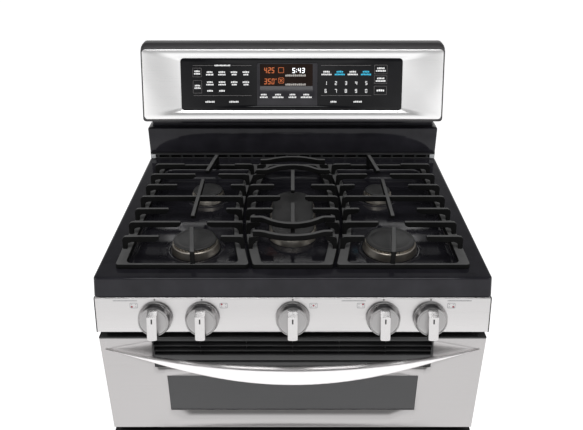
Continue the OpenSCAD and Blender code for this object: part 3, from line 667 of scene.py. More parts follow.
def centre_grate():
    s = Shape()
    ring(s, centre_outline)
    top = GRATE["top"]
    for flip in (False, True):
        bowed_bar(s, 0, 18, flip)
        bowed_bar(s, 1, 28, flip)
        y0, y1 = row_y(1) - 28, GRATE_MID - 30
        outline = [(y0, top - 0.2), (y1 - 3, top), (y1 - 0.8, top - 1), (y1, top - 3.5), (y1 - 1.5, top - 8),
                   (y1 - 9, top - BAR_H), (y0, top - BAR_H)]
        if flip:
            outline = [(2 * GRATE_MID - y, z) for y, z in outline]
        s.prism(outline, lambda a, b, t: (t * 4.3, a, b), -1, 1)
    for i in (2, 3, 4):
        end = seam_x(row_y(i)) - GRATE["gap"]
        reach = 27 if i == 3 else 42
        finger(s, end, reach, row_y(i))
        finger(s, -end, -reach, row_y(i))
    s.piece("grate_centre_cast", "grate_centre", [IRON], bevel=1.6, segments=2,
            replaces=["grate_centre"])


side_grate("left", -1)
side_grate("right", 1)
centre_grate()


# ------------------------------------------------------------------ burners

# side, grate row and outer radius
BURNERS = {"front_left": (-1, 1, 51.5), "front_right": (1, 1, 57),
           "rear_left": (-1, 5, 41), "rear_right": (1, 5, 36)}
FLOOR_Z = -WELL["drop"]
CAP_TOP = -2
CROWN_LOW, CROWN_TOP = FLOOR_Z + 17, FLOOR_Z + 20.6      # teeth between the flame ports
OVAL_W, OVAL_L = 93, 218                   # cap of the middle burner


def ported_crown(s, r, z0, z1, count, centre):
    """Ring of teeth between the flame ports."""
    for k in range(count):
        a0 = 2 * math.pi * (k + 0.2) / count
        a1 = 2 * math.pi * (k + 0.8) / count
        pts = [(r - 5, a0), (r, a0), (r, a1), (r - 5, a1)]
        outline = [(centre[0] + q * math.cos(a), centre[1] + q * math.sin(a)) for q, a in pts]
        s.plate(outline, z0, z1)


def round_burner(name):
    side, row, r = BURNERS[name]
    centre = (side * BURNER_X, row_y(row))
    z = FLOOR_Z
    base = Shape()
    base.lathe([(r - 12, z - 1), (r - 1, z), (r, z + 1.2), (r - 0.2, z + 3), (r - 1.6, z + 9),
                (r - 3.5, z + 16.4), (r - 5, z + 17.6), (r - 9, z + 18), (r - 12, z + 17.8), (r - 12, z + 13),
                (5, z + 13), (5, z + 11), (0, z + 11)], 72, centre)
    ported_crown(base, r - 8, CROWN_LOW, CROWN_TOP, max(20, int(r * 0.7)), centre)
    base.piece("burner_%s_base" % name, ROOT, [ALUMINIUM], bevel=0.5, segments=1,
               replaces=["burner_" + name])
    cap = Shape()
    q = r - 6
    t = CAP_TOP
    cap.lathe([(q - 6, t - 5), (q - 2.5, t - 5), (q - 0.6, t - 4.5), (q, t - 3.4), (q - 0.2, t - 2.2),
               (q - 1.2, t - 1.1), (q - 3.5, t - 0.5), (q - 8, t - 0.3), (q - 9.5, t - 0.7),
               (q - 11, t - 0.35), (q * 0.5, t - 0.1), (0, t)], 72, centre)
    cap.piece("cap_%s_disc" % name, ROOT, [CAP], crease=40, replaces=["cap_" + name])
    collar = Shape()
    collar.lathe([(r + 1, z - 0.5), (r + 1.5, z + 0.6), (r + 4, z + 1.4), (r + 8, z + 1.2),
                  (r + 12, z - 0.5)],
                 72, centre)
    collar.piece("well_collar_" + name, ROOT, [ENAMEL], crease=60)


def stadium(w, length, inset):
    """Oval outline with half-round ends, moved in by inset."""
    r = w / 2 - inset
    half = (length - w) / 2
    return arc(0, half, r, 0, 180, 16) + arc(0, -half, r, 180, 360, 16)


def centre_burner():
    w, length = OVAL_W, OVAL_L
    z = FLOOR_Z

    def loop(grow, inset, zz):
        return [(x, GRATE_MID + y, zz) for x, y in stadium(w + grow, length + grow, inset)]
    base = Shape()
    base.loft([loop(12, inset, z + up) for inset, up in
               ((14, -1), (0, 0), (0, 3), (4, 15), (8, 17.4), (16, 17.4))])
    n = 44
    for side in (-1, 1):
        for k in range(n // 2):
            y = -62 + 124 * (k + 0.5) / (n // 2)
            base.box((side * 40 - 2.5, GRATE_MID + y - 1.8, CROWN_LOW),
                     (side * 40 + 2.5, GRATE_MID + y + 1.8, CROWN_TOP))
        for k in range(14):
            a = math.pi * (k + 0.5) / 14 + (0 if side > 0 else math.pi)
            c = (42 * math.cos(a), GRATE_MID + side * 62 + 42 * math.sin(a))
            base.box((c[0] - 2, c[1] - 2, CROWN_LOW), (c[0] + 2, c[1] + 2, CROWN_TOP))
    base.piece("burner_centre_base", ROOT, [ALUMINIUM], bevel=0.5, segments=1,
               replaces=["burner_centre"])
    cap = Shape()
    t = CAP_TOP
    cap.loft([loop(0, inset, t - down) for inset, down in
              ((6, 5), (2, 5), (0, 4), (0.3, 2.4), (1.6, 1), (5, 0.4), (12, 0.2), (26, 0))])
    cap.piece("cap_centre_disc", ROOT, [CAP], crease=40, replaces=["cap_centre"])


for burner in BURNERS:
    round_burner(burner)
centre_burner()


def igniters():
    s = Shape()
    places = [(side * BURNER_X, row_y(row) + r + 5) for side, row, r in BURNERS.values()]
    places.append((0, GRATE_MID + OVAL_L / 2 + 12))
    for x, y in places:
        z = FLOOR_Z
        s.lathe([(3.4, z), (3.4, z + 3), (2.6, z + 4), (2.6, z + 8.2), (1.8, z + 9)], 20, (x, y))
        s.lathe([(1.1, z + 8), (1.1, z + 13.5), (0.5, z + 15)], 12, (x, y), slot=1)
    s.piece("igniter_set", ROOT, [CERAMIC, ZINC], replaces=["igniters"])


igniters()


# ------------------------------------------------------------------ riser and vent

BOX_BACK = (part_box("control_housing")[1].y - FRONT) / MM
RISER_BACK = BOX_BACK - 7
RISER_TOP = 82


def riser():
    s = Shape()
    w = HALF_W

    def plan(inset, z):
        outline = round_rect(-w + inset, w - inset, DECK_D + 0.2 + inset, RISER_BACK - inset, 5, 5)
        return [(x, y, z) for x, y in outline]
    s.loft([plan(2, 14), plan(0.5, 14), plan(0, 15.5), plan(0, RISER_TOP - 3), plan(0.9, RISER_TOP - 0.9),
            plan(3, RISER_TOP), plan(14, RISER_TOP)])
    for side in (-1, 1):
        x0, x1 = sorted((side * (w - 2), side * w))
        s.box((x0, DECK_D + 3, -35), (x1, RISER_BACK, 15))
    s.box((-w + 2, RISER_BACK - 2, -35), (w - 2, RISER_BACK, 15))
    neck = [(x, y) for x, y in round_rect(-w + 8, w - 8, DECK_D + 22, RISER_BACK, 6, 4)]
    s.plate(neck, RISER_TOP - 1, 96)
    s.piece("riser_shell", ROOT, [ENAMEL], bevel=0.6, crease=40, replaces=["riser"])


def vent_trim():
    """Grille along the riser's foot: rails, posts, grey end blocks, and behind them a dark plate that paints
    the shade in the vent's opening.
    """
    s = Shape()
    y = DECK_D - 10
    w = HALF_W - 3
    s.prism([(y, 0.3), (y, 2.6), (y + 1.2, 3.4), (y + 2.2, 3.4), (y + 2.2, 0.3)],
            lambda a, b, d: (d, a, b), -w, w)
    s.prism([(y, 10.6), (y, 13), (y + 1.4, 14), (y + 9.8, 14), (y + 9.8, 12), (y + 2.2, 10.6)],
            lambda a, b, d: (d, a, b), -w, w)
    for i in range(-11, 13):
        x = (i - 0.5) * 31
        s.box((x - 2.6, y + 0.3, 2.4), (x + 2.6, y + 2.4, 11.6))
    # Painted shade: a plate in the darkest iron behind the grille stands for the shade inside the vent.
    s.box((-w, y + 7, 0.4), (w, y + 9, 13.6), slot=1)
    for side in (-1, 1):
        x0, x1 = sorted((side * (w - 1), side * (w - 13)))
        s.box((x0, y - 0.4, 1.6), (x1, y + 2.8, 12.4), slot=2)
    s.piece("riser_vent_grille", ROOT, [PLASTIC, IRON, TRIM_GREY], bevel=0.4, segments=1,
            replaces=["riser_vent_trim"])


riser()
vent_trim()


# ------------------------------------------------------------------ control box

FACE_TOP = (FACE_FOOT[0] + FACE_H * math.sin(FACE_TILT), FACE_FOOT[1] + FACE_H * math.cos(FACE_TILT))
BOX_TOP = 298


def control_housing():
    s = Shape()

    r_top, r_low = 12, 8

    def station(low, high, inset=0.0):
        """Loop across the box between two (y, z) points, with round corners."""
        length = math.dist(low, high)
        w = HALF_W - inset
        flat = (arc(w - r_low, inset + r_low, r_low, -90, 0, 5)
                + arc(w - r_top, length - inset - r_top, r_top, 0, 90, 7)
                + arc(-w + r_top, length - inset - r_top, r_top, 90, 180, 7)
                + arc(-w + r_low, inset + r_low, r_low, 180, 270, 5))
        return [(x, low[0] + (high[0] - low[0]) * v / length, low[1] + (high[1] - low[1]) * v / length)
                for x, v in flat]

    def ahead(point, d):
        """Moves a (y, z) point out of the face by d."""
        return (point[0] - d * math.cos(FACE_TILT), point[1] + d * math.sin(FACE_TILT))
    low, high = FACE_FOOT, FACE_TOP
    s.loft([station(ahead(low, -6), ahead(high, -6), 12), station(low, high, 9), station(low, high, 1.6),
            station(ahead(low, -0.5), ahead(high, -0.5), 0.5),
            station(ahead(low, -1.8), ahead(high, -1.8), 0),
            station((562, 108.8), (601, 295.5)), station((DECK_D + 22, 96), (606, 297.4)),
            station((DECK_D + 26, 96), (612, BOX_TOP)), station((BOX_BACK - 9, 96), (BOX_BACK - 9, BOX_TOP)),
            station((BOX_BACK - 3.5, 97), (BOX_BACK - 3.5, BOX_TOP - 2.5)),
            station((BOX_BACK, 100), (BOX_BACK, BOX_TOP - 8)),
            station((BOX_BACK, 112), (BOX_BACK, BOX_TOP - 20), 12)])
    s.box((-HALF_W + 4, RISER_BACK + 0.3, 62), (HALF_W - 4, BOX_BACK - 0.4, 104))
    s.piece("control_box_shell", ROOT, [PLASTIC_GREY], crease=40,
            replaces=["control_housing"])


def face_ring(s, outer, hole, z1, edge):
    """Plate with a hole, in face coordinates; each outline is (x0, x1, y0, y1, r)."""
    def at(o, grow, z):
        x0, x1, y0, y1, r = o
        return [(x, y, z) for x, y in round_rect(x0 - grow, x1 + grow, y0 - grow, y1 + grow, r, 7)]
    s.loft([at(outer, 0, 0), at(outer, 0, z1 - edge), at(outer, -edge * 0.3, z1 - edge * 0.3),
            at(outer, -edge, z1), at(hole, edge * 0.6, z1), at(hole, 0, z1 - edge * 0.6), at(hole, 0, 0)],
           ring=True)


MID_V = FACE_H / 2
GLASS = (-280, 274, MID_V - 64, MID_V + 64, 8)
MODULE = (-90, 62, MID_V - 52.5, MID_V + 52.5, 3)
LCD_BOX = (-82, 50, 88.5, 142.3, 1.5)


def grown(o, d):
    return (o[0] - d, o[1] + d, o[2] - d, o[3] + d, o[4] + d)


def control_face():
    s = Shape()
    face_ring(s, (-HALF_W + 4, HALF_W - 4, 6, FACE_H - 6, 9), grown(GLASS, 0.3), 1.5, 0.5)
    s.piece("control_fascia_plate", ROOT, [STEEL_FACE_LIT], face_frame(), crease=50,
            replaces=["control_fascia"])
    s = Shape()
    face_ring(s, GLASS, grown(MODULE, 0.3), 2.4, 0.7)
    s.piece("control_glass_panel", ROOT, [GLASS_BLACK], face_frame(), crease=50,
            replaces=["control_glass"])
    s = Shape()
    face_ring(s, MODULE, LCD_BOX, 3.0, 0.6)
    x0, x1, y0, y1, r = grown(LCD_BOX, 0.4)
    s.plate(round_rect(x0, x1, y0, y1, r), 0.4, 2.3, slot=1)
    s.piece("display_window", ROOT, [DISPLAY, LCD], face_frame(), crease=50,
            replaces=["display_module"])


SEGMENTS = {"0": "abcdef", "1": "bc", "2": "abged", "3": "abgcd", "4": "fgbc", "5": "afgcd", "6": "afgedc",
            "7": "abc", "8": "abcdefg", "9": "abcdfg"}


def digit(s, char, u, v, w, h, stroke, z, slot, lean):
    """Seven-segment digit with its lower left corner at (u, v)."""
    g = stroke * 0.22
    bars = {"a": (g, h - stroke, w - g, h), "d": (g, 0, w - g, stroke),
            "g": (g, (h - stroke) / 2, w - g, (h + stroke) / 2),
            "f": (0, h / 2 + g, stroke, h - g), "b": (w - stroke, h / 2 + g, w, h - g),
            "e": (0, g, stroke, h / 2 - g), "c": (w - stroke, g, w, h / 2 - g)}
    for key in SEGMENTS[char]:
        x0, y0, x1, y1 = bars[key]
        c = stroke * 0.3
        pts = [(x0 + c, y0), (x1 - c, y0), (x1, y0 + c), (x1, y1 - c), (x1 - c, y1), (x0 + c, y1),
               (x0, y1 - c), (x0, y0 + c)]
        s.plate([(u + a + b * lean, v + b) for a, b in pts], z, z + INK_T, slot)


INK_T = 0.12                               # raised height of a printed or lit mark
LEAN = 0.1                                 # slant of the display digits


def number(s, text, u, v, w, h, stroke, gap, z, slot=0):
    """Row of display digits from its lower left corner."""
    for char in text:
        if char == ":":
            for up in (0.25, 0.68):
                s.plate(arc(u + stroke / 2 + h * up * LEAN, v + h * up, stroke * 0.6, 0, 330, 11),
                        z, z + INK_T, slot)
            u += stroke + gap
            continue
        digit(s, char, u, v, w, h, stroke, z, slot, LEAN)
        u += w + gap


def word(s, u, v, width, height, z, slot=0):
    """Row of small blocks, centred, that stands for a printed word."""
    n = max(2, round(width / (height * 0.95)))
    step = width / n
    for k in range(n):
        x = u - width / 2 + k * step
        h = height * (1.0 if k % 3 else 0.86)
        foot = v - height / 2
        block = round_rect(x + step * 0.1, x + step * 0.9, foot, foot + h, height * 0.18, 2)
        s.plate(block, z, z + 0.1, slot)


def outline_box(s, u0, u1, v0, v1, line, z, slot=0, r=1.2):
    """Printed rounded frame."""
    def at(d, zz):
        return [(x, y, zz) for x, y in round_rect(u0 + d, u1 - d, v0 + d, v1 - d, r, 4)]
    s.loft([at(0, z), at(0, z + 0.1), at(line, z + 0.1), at(line, z)], ring=True)
    s.slots[-4 * len(at(0, z)):] = [slot] * (4 * len(at(0, z)))


def legends():
    z = 2.42
    s = Shape()
    rule = 0.7
    for u0, u1, v in ((-249, -198, 138.6), (-153, -103, 138.6), (-249, -103, 64.8), (71, 195, 138.9),
                      (71, 197, 65.1)):
        s.box((u0, v - rule / 2, z), (u1, v + rule / 2, z + 0.1), slot=1)
    word(s, -175.5, 138.8, 40, 3.6, z, 0)
    for v in (119.6, 95.1):
        for u in (-207.7, -177.2, -146.7, -117.3):
            word(s, u, v + 3.1, 17 if u > -200 else 15, 4.0, z)
            word(s, u, v - 3.1, 13 if u > -160 else 19, 4.0, z)
    for u in (-207.7, -177.6):
        word(s, u, 76.7, 15, 4.4, z)
    for v0, v1 in ((110.6, 132.6), (70.7, 102.3)):
        outline_box(s, -250, -228, v0, v1, 0.6, z, 1)
        word(s, -239, (v0 + v1) / 2 + 3.0, 14, 4.0, z)
        word(s, -239, (v0 + v1) / 2 - 3.0, 16, 4.0, z)
    for u in (-208.4, -148):
        word(s, u, 49.4, 24, 4.4, z)
    for u, slot in ((84.4, 0), (117.6, 2), (149.9, 0), (183.1, 2)):
        word(s, u, 123.6, 17, 4.2, z, slot)
        word(s, u, 117.0, 26, 4.2, z, slot)
    for text, v in (("12345", 95.6), ("67890", 76.4)):
        for k, char in enumerate(text):
            digit(s, char, 80 + 25.4 * k, v - 4.6, 5.4, 9.2, 1.5, z, 0, 0.0)
    for u, w in ((102.5, 16), (163.4, 22)):
        word(s, u, 49.7, w, 4.4, z)
    for v0, v1 in ((117.9, 139.9), (94.2, 114), (66.8, 88.5)):
        outline_box(s, 204, 236, v0, v1, 0.6, z, 1)
        if v0 < 70:
            word(s, 220, (v0 + v1) / 2, 20, 5.2, z)
        else:
            word(s, 220, (v0 + v1) / 2 + 3.2, 19, 4.2, z)
            word(s, 220, (v0 + v1) / 2 - 3.2, 25, 4.2, z)
    s.piece("control_legends", ROOT, [WHITE_INK_GLOW, GREY_INK, BLUE_INK_GLOW], face_frame())
    s = Shape()
    z = 3.02
    for u, w in ((-73, 16), (-37, 24), (-0.8, 16), (33.9, 24)):
        word(s, u, 67.4, 15, 4.2, z)
        word(s, u, 60.8, w + 4, 4.2, z)
    s.piece("display_legends", ROOT, [WHITE_INK_GLOW], face_frame())
    s = Shape()
    z = 2.32
    number(s, "425", -72, 120, 7, 14, 1.9, 2.2, z)
    number(s, "350", -72, 92.8, 7, 14, 1.9, 2.2, z)
    outline_box(s, -43.4, -40.2, 103.6, 106.8, 0.9, z, 0, 1.3)
    outline_box(s, -36, -22, 120.5, 134, 1.0, z, 0, 1.6)
    outline_box(s, -36, -22, 95, 109, 1.0, z, 0, 3.0)
    s.plate(arc(-29, 102, 1.7, 0, 345, 23), z, z + INK_T, 0)
    for k in range(4):
        a = math.radians(45 + 90 * k)
        c = (-29 + 3.4 * math.cos(a), 102 + 3.4 * math.sin(a))
        s.plate(arc(c[0], c[1], 1.3, 0, 330, 11), z, z + INK_T, 0)
    number(s, "5:43", -1.5, 120.3, 7, 12.4, 1.8, 2.6, z, 1)
    word(s, 7, 114.4, 52, 5.0, z, 2)
    word(s, 7, 92.2, 52, 5.0, z, 2)
    s.piece("display_segments", ROOT, [AMBER, PALE_SEGMENT, DIM_SEGMENT], face_frame())


control_housing()
control_face()
legends()


# ------------------------------------------------------------------ knob panel and knobs

KNOB_X = (-263.5, -173.5, 0, 173.5, 263.5)
KNOB_R = 32.5
RIM_R = 28.5
RIM_Z = 22
BAR_RISE = 36                              # height of the knob bar where its slope starts


def knob_panel():
    """Folded steel panel with rounded long edges, black end caps, marks and burner icons."""
    s = Shape()
    w = HALF_W - 2.2
    edge = 3.2
    section = [(0, -12)] + [(-edge + a, b) for a, b in arc(0, -edge, edge, 0, 90, 5)]
    section += [(-PANEL_H + edge + a, b) for a, b in arc(0, -edge, edge, 90, 180, 5)] + [(-PANEL_H, -12)]
    inner = [(-PANEL_H + 1.4, -12), (-PANEL_H + 1.4, -4), (-PANEL_H + 4, -1.5), (-4, -1.5), (-1.4, -4),
             (-1.4, -12)]
    s.prism(section + inner, lambda a, b, d: (d, a, b), -w, w)
    s.piece("knob_panel_steel", ROOT, [STEEL], panel_frame(), crease=40, replaces=["knob_panel"])
    s = Shape()
    for side in (-1, 1):
        x0, x1 = sorted((side * (w + 0.1), side * HALF_W))
        s.prism(round_rect(-PANEL_H - 0.2, 0.2, -13, 0.4, 3, 4), lambda a, b, d: (d, a, b), x0, x1)
    s.piece("knob_panel_ends", ROOT, [PLASTIC], panel_frame(), bevel=0.5)
    s = Shape()
    z = 0.03
    for x in KNOB_X:
        s.plate(arc(x, -4.6, 1.7, 0, 345, 23), z, z + 0.08, 2)
    icons = ((-303.8, -1, -1), (-132, -1, 1), (39.7, 0, 0), (130.3, 1, 1), (303, 1, -1))
    for x, side, row in icons:
        outline_box(s, x - 7.6, x + 7.6, -22, -11, 0.9, z, 0, 2.2)
        s.plate(arc(x + side * 3.8, -16.5 + row * 2.6, 1.9, 0, 330, 11), z, z + 0.08, 1)
        for a in (-1, 1):
            for b in (-1, 1):
                if (a, b) != (side, row):
                    s.plate(arc(x + a * 3.8, -16.5 + b * 2.6, 1.0, 0, 330, 11), z, z + 0.08, 0)
    for x, width in ((-320, 46), (116, 46), (318, 46)):
        word(s, x, -6.4, width, 2.4, z, 0)
    s.piece("knob_panel_marks", ROOT, [GREY_INK_LIGHT, RED_INK, DARK_INK], panel_frame())
    s = Shape()
    for x in KNOB_X:
        s.lathe([(30.6, 0.1), (31, 0.4), (31, 1.1), (30.5, 1.5), (10, 1.5), (9, 1.2), (9, 0.1)],
                72, (x, -KNOB_DOWN))
    s.piece("knob_bezel_rings", ROOT, [STEEL_DARK], panel_frame(), crease=40,
            replaces=["knob_bezels"])


def knob(index, x):
    s = Shape()
    s.lathe([(4, 6.6), (28.5, 6.6), (30, 5.6), (32.1, 5.6), (KNOB_R, 6), (KNOB_R, 7.6), (32, 8.3),
             (31.8, 9.4), (29.5, 20.2), (29.1, 20.8)], 96)
    s.lathe([(4, 14), (29.1, 20.4), (28.9, 21.3), (RIM_R - 0.1, 21.9), (27.2, RIM_Z + 0.1), (26.6, 21.7),
             (26.2, 19.8), (25.3, 19.8), (24.9, 21.5), (22, 21.9), (0, RIM_Z)], 96, slot=1)
    half = 9.5
    top = 17

    def height(y):
        """Top of the bar: it rises towards its pointer end and slopes off behind."""
        if y < top:
            return BAR_RISE + (top - y) * 6.5 / (RIM_R + top)
        return BAR_RISE - (y - top) * 13 / (RIM_R - top)
    loops = []
    ys = [-28.45, -28.1, -27.4, -26.3, -25, -15, -5, 5, 13, 16.2, 16.7, 17, 17.4, 18.2, 21, 24, 26.3, 27.4,
          28.1]
    for y in ys:
        w = min(half, math.sqrt(max(RIM_R ** 2 - y * y, 0.1)))
        z = height(y)
        if y < -27:
            z -= (-27 - y) * 0.9
        c = min(1.1, w * 0.4)
        loops.append([(-w, y, 19), (w, y, 19), (w, y, z - c), (w - c * 0.3, y, z - c * 0.3), (w - c, y, z),
                      (-w + c, y, z), (-w + c * 0.3, y, z - c * 0.3), (-w, y, z - c)])
    s.loft(loops, slot=2)
    mark = [(x, y, height(y) + 0.12) for x, y in ((-1.4, 4.3), (-1.4, 13.3), (1.4, 13.3), (1.4, 4.3))]
    s.loft([[(a, b, c - 0.6) for a, b, c in mark], mark], slot=3)
    s.piece("knob_%d_dial" % index, "knob_%d" % index,
            [KNOB_SKIRT_SHADED, KNOB_DISC_SHADED, KNOB_BAR_LIT, DARK_INK], panel_frame(x, KNOB_DOWN), crease=28,
            replaces=["knob_%d" % index])


knob_panel()
for number_, x_ in enumerate(KNOB_X, 1):
    knob(number_, x_)


# ------------------------------------------------------------------ doors

DOOR_W = 755
VENT_HALF = 275
STRIP_T = 2.8
VENT_TOP, VENT_LOW = STRIP_T + 0.4, 75    # vent's edges below the door's top
VENT_BLADES = ((4, 7), (21.8, 1.5), (34.3, 1.5), (45, 14), (63, 10))    # (below the top, lip)
HANDLE_HALF = 369
HANDLE_DOWN = 30                          # handle's upper edge below the door's top
HANDLE_H = 38
HANDLE_REACH, HANDLE_INNER = 64.4, 48
WINDOW_HALF = 252.5
WINDOW_LOW = 50
SCOOP = 19


def window_top(h):
    return h - VENT_LOW - 22


def smooth(t):
    t = min(max(t, 0.0), 1.0)
    return t * t * (3 - 2 * t)


def door_skin(door):
    """Pressed steel sheet: folded sides, scoops from the handle's tips to the vent, two openings."""
    h = door_height(door)
    hw = DOOR_W / 2
    xs = [hw - 2, hw - 4, HANDLE_HALF + 1]
    xs += [HANDLE_HALF - 94 * (k / 18) ** 1.15 for k in range(19)]
    xs += [264, WINDOW_HALF, 200, 120, 40]
    xs = sorted(set(-x for x in xs)) + sorted(xs)
    lines = 14

    def column(x):
        """z and depth of every row at x."""
        t = min(max((HANDLE_HALF - abs(x)) / (HANDLE_HALF - VENT_HALF), 0.0), 1.0)
        z_hi = h - HANDLE_DOWN + 22 * t
        z_lo = h - HANDLE_DOWN - 45 * t - (0.8 if t < 0.03 else 0)
        rows = [(1.2, 1.2), (1.7, 0.35), (3.2, 0.0), (WINDOW_LOW, 0.0), (window_top(h), 0.0)]
        for k in range(lines + 1):
            f = k / lines
            across = smooth(f / 0.72) * (1 - smooth((f - 0.8) / 0.2))
            rows.append((z_lo + (z_hi - z_lo) * f, SCOOP * t ** 1.1 * across))
        rows += [(h - 5.2, 0.0), (h - 3.7, 0.3), (h - VENT_TOP, 1.2)]
        return rows
    verts, faces = [], []
    grid = []
    folds = [(hw, 22.0), (hw, 2.0), (hw - 0.6, 0.6)]
    columns = [(-a, b) for a, b in folds] + [(x, None) for x in xs] + [(a, b) for a, b in reversed(folds)]
    for x, fold in columns:
        ids = []
        for z, depth in column(x):
            ids.append(len(verts))
            verts.append((x, depth if fold is None else max(fold, depth if fold < 3 else fold), z))
        grid.append(ids)
    for i in range(len(columns) - 1):
        xa, xb = columns[i][0], columns[i + 1][0]
        mid = abs(xa + xb) / 2
        for j in range(len(grid[0]) - 1):
            if mid < VENT_HALF and j >= 5:
                continue
            if mid < WINDOW_HALF and j == 3:
                continue
            faces.append((grid[i][j], grid[i + 1][j], grid[i + 1][j + 1], grid[i][j + 1]))
    s = Shape()
    s.add(verts, faces)
    s.piece(door + "_door_shell", door + "_door", [STEEL_DOOR_SHADED], door_frame(door), crease=38,
            sheet=1.2, replaces=[door + "_door_skin"])
    s = Shape()
    s.plate(round_rect(-hw + 1.3, hw - 1.3, 1.3, 22, 0.4, 2), 0.2, 1.4)
    s.piece(door + "_door_hem", door + "_door", [STEEL_DOOR_SHADED], door_frame(door), bevel=0.3,
            segments=1)


def door_vent(door):
    h = door_height(door)
    s = Shape()
    w = VENT_HALF - 0.5
    z0, z1 = h - VENT_LOW + 0.4, h - VENT_TOP - 0.4

    def at(d, y):
        return [(x, y, z) for x, z in round_rect(-w + d, w - d, z0 + d, z1 - d, 0.5, 2)]
    s.loft([at(0, 21.6), at(0, 1.8), at(1.6, 1.8), at(1.6, 20)])
    for drop, lip in VENT_BLADES:
        z, c = h - drop, min(lip * 0.3, 1.2)
        blade = [(1.6, z - lip), (1.3, z - lip + c), (1.3, z - c), (2.2, z), (20, z), (20, z - 1.4),
                 (3, z - 1.5), (3, z - lip)]
        s.prism(blade, lambda a, b, d: (d, a, b), -w + 1, w - 1)
    for k in range(1, 6):
        x = -w + 2 * w * k / 6
        s.box((x - 1.2, 9, z0 + 8), (x + 1.2, 20.4, z1 - 1))
    s.piece(door + "_door_louvre", door + "_door", [PLASTIC], door_frame(door), bevel=0.35,
            segments=1, crease=40, replaces=[door + "_door_vent"])


def bow(x, half, reach):
    r = (half * half + reach * reach) / (2 * reach)
    return math.sqrt(max(r * r - x * x, 0)) - (r - reach)


def door_handle(door):
    """Bow in plan whose deep middle tapers to pointed ends lying on the skin."""
    h = door_height(door)
    s = Shape()
    top = h - HANDLE_DOWN
    n = 72
    loops = []
    for k in range(n + 1):
        u = math.sin(math.pi * (k / n - 0.5))
        x = u * (HANDLE_HALF - 1.2)
        out = -bow(x, HANDLE_HALF, HANDLE_REACH) - 0.35
        back = -max(bow(x, HANDLE_HALF - 20, HANDLE_INNER), -1.0) if abs(x) < HANDLE_HALF - 12 else 1.0
        back = max(back, out + 1.2)
        low = top - max(HANDLE_H * (1 - (x / HANDLE_HALF) ** 2) ** 1.6, 0.8)
        d, t = back - out, top - low
        a = min(2.4, d * 0.25, t * 0.3)
        loops.append([(x, back, top - a * 0.7), (x, back - a * 0.4, top - a * 0.15), (x, back - a, top),
                      (x, out + a, top), (x, out + a * 0.35, top - a * 0.3), (x, out, top - a),
                      (x, out + d * 0.02, top - t * 0.35), (x, out + d * 0.07, top - t * 0.6),
                      (x, out + d * 0.18, low + a * 1.2), (x, out + d * 0.3, low + a * 0.25),
                      (x, out + d * 0.45, low), (x, back - a, low), (x, back, low + a)])
    s.loft(loops)
    s.piece(door + "_door_grip", door + "_door", [STEEL_HANDLE_LIT], door_frame(door), crease=34,
            replaces=[door + "_door_handle"])


def door_glass(door):
    h = door_height(door)
    s = Shape()
    grow = 11.5
    w = WINDOW_HALF + grow

    def at(d, y, r=6):
        outline = round_rect(-w + d, w - d, WINDOW_LOW - grow + d, window_top(h) + grow - d, r, 4)
        return [(x, y, z) for x, z in outline]
    for y0, y1 in ((1.6, 5.4), (37.9, 41.6)):
        s.loft([at(0.5, y0), at(0, y0 + 0.5), at(0, y1 - 0.5), at(0.5, y1)])
    s.piece(door + "_door_panes", door + "_door", [DOOR_GLASS], door_frame(door),
            replaces=[door + "_door_glass"])
    s = Shape()
    s.loft([at(1, 5.5, 5.9), at(1, 6.3, 5.9), at(22, 6.3, 3.8), at(22, 5.5, 3.8)], ring=True)
    s.piece(door + "_door_mask", door + "_door", [PLASTIC], door_frame(door))


def door_liner(door):
    h = door_height(door)
    hw = DOOR_W / 2 - 1.9
    s = Shape()

    def outer(d, y):
        outline = round_rect(-hw + d, hw - d, 19 + d, h - 0.3 - d, max(8 - d * 0.2, 2), 5)
        return [(x, y, z) for x, z in outline]

    def hole(d, y, r=10):
        outline = round_rect(-WINDOW_HALF - d, WINDOW_HALF + d, WINDOW_LOW - d, window_top(h) + d, r, 5)
        return [(x, y, z) for x, z in outline]
    s.loft([outer(0, 22.6), outer(0, 40.6), outer(0.7, 42.3), outer(2.4, 43), outer(9, 43), outer(12, 40.8),
            hole(14, 40.8, 14), hole(11, 43, 12), hole(3, 43), hole(0.8, 42.4), hole(0, 41.7),
            hole(1.2, 41.7), hole(4, 41.8), hole(14, 39.6, 14), outer(13, 39.6), outer(1.3, 39.8),
            outer(1.3, 22.6)], ring=True)
    s.piece(door + "_door_pan", door + "_door", [OVEN], door_frame(door), crease=40,
            replaces=[door + "_door_liner"])
    s = Shape()
    w = DOOR_W / 2 - 0.5
    s.plate([(-w, 25), (-w, 0.2), (w, 0.2), (w, 25)], h - STRIP_T, h)
    for side in (-1, 1):
        x0, x1 = sorted((side * (hw - 26), side * hw))
        turns = [2 * math.pi * k / 24 for k in range(24)]
        s.loft([[(x, 22 + 4 * math.cos(t), 22 + 4 * math.sin(t)) for t in turns] for x in (x0, x1)], slot=1)
    s.piece(door + "_door_top_strip", door + "_door", [ENAMEL_BAND, ZINC], door_frame(door),
            bevel=0.45, segments=2)


for door_ in ("upper", "lower"):
    door_skin(door_)
    door_vent(door_)
    door_handle(door_)
    door_glass(door_)
    door_liner(door_)


# ------------------------------------------------------------------ CAD nodes that are shown as they are

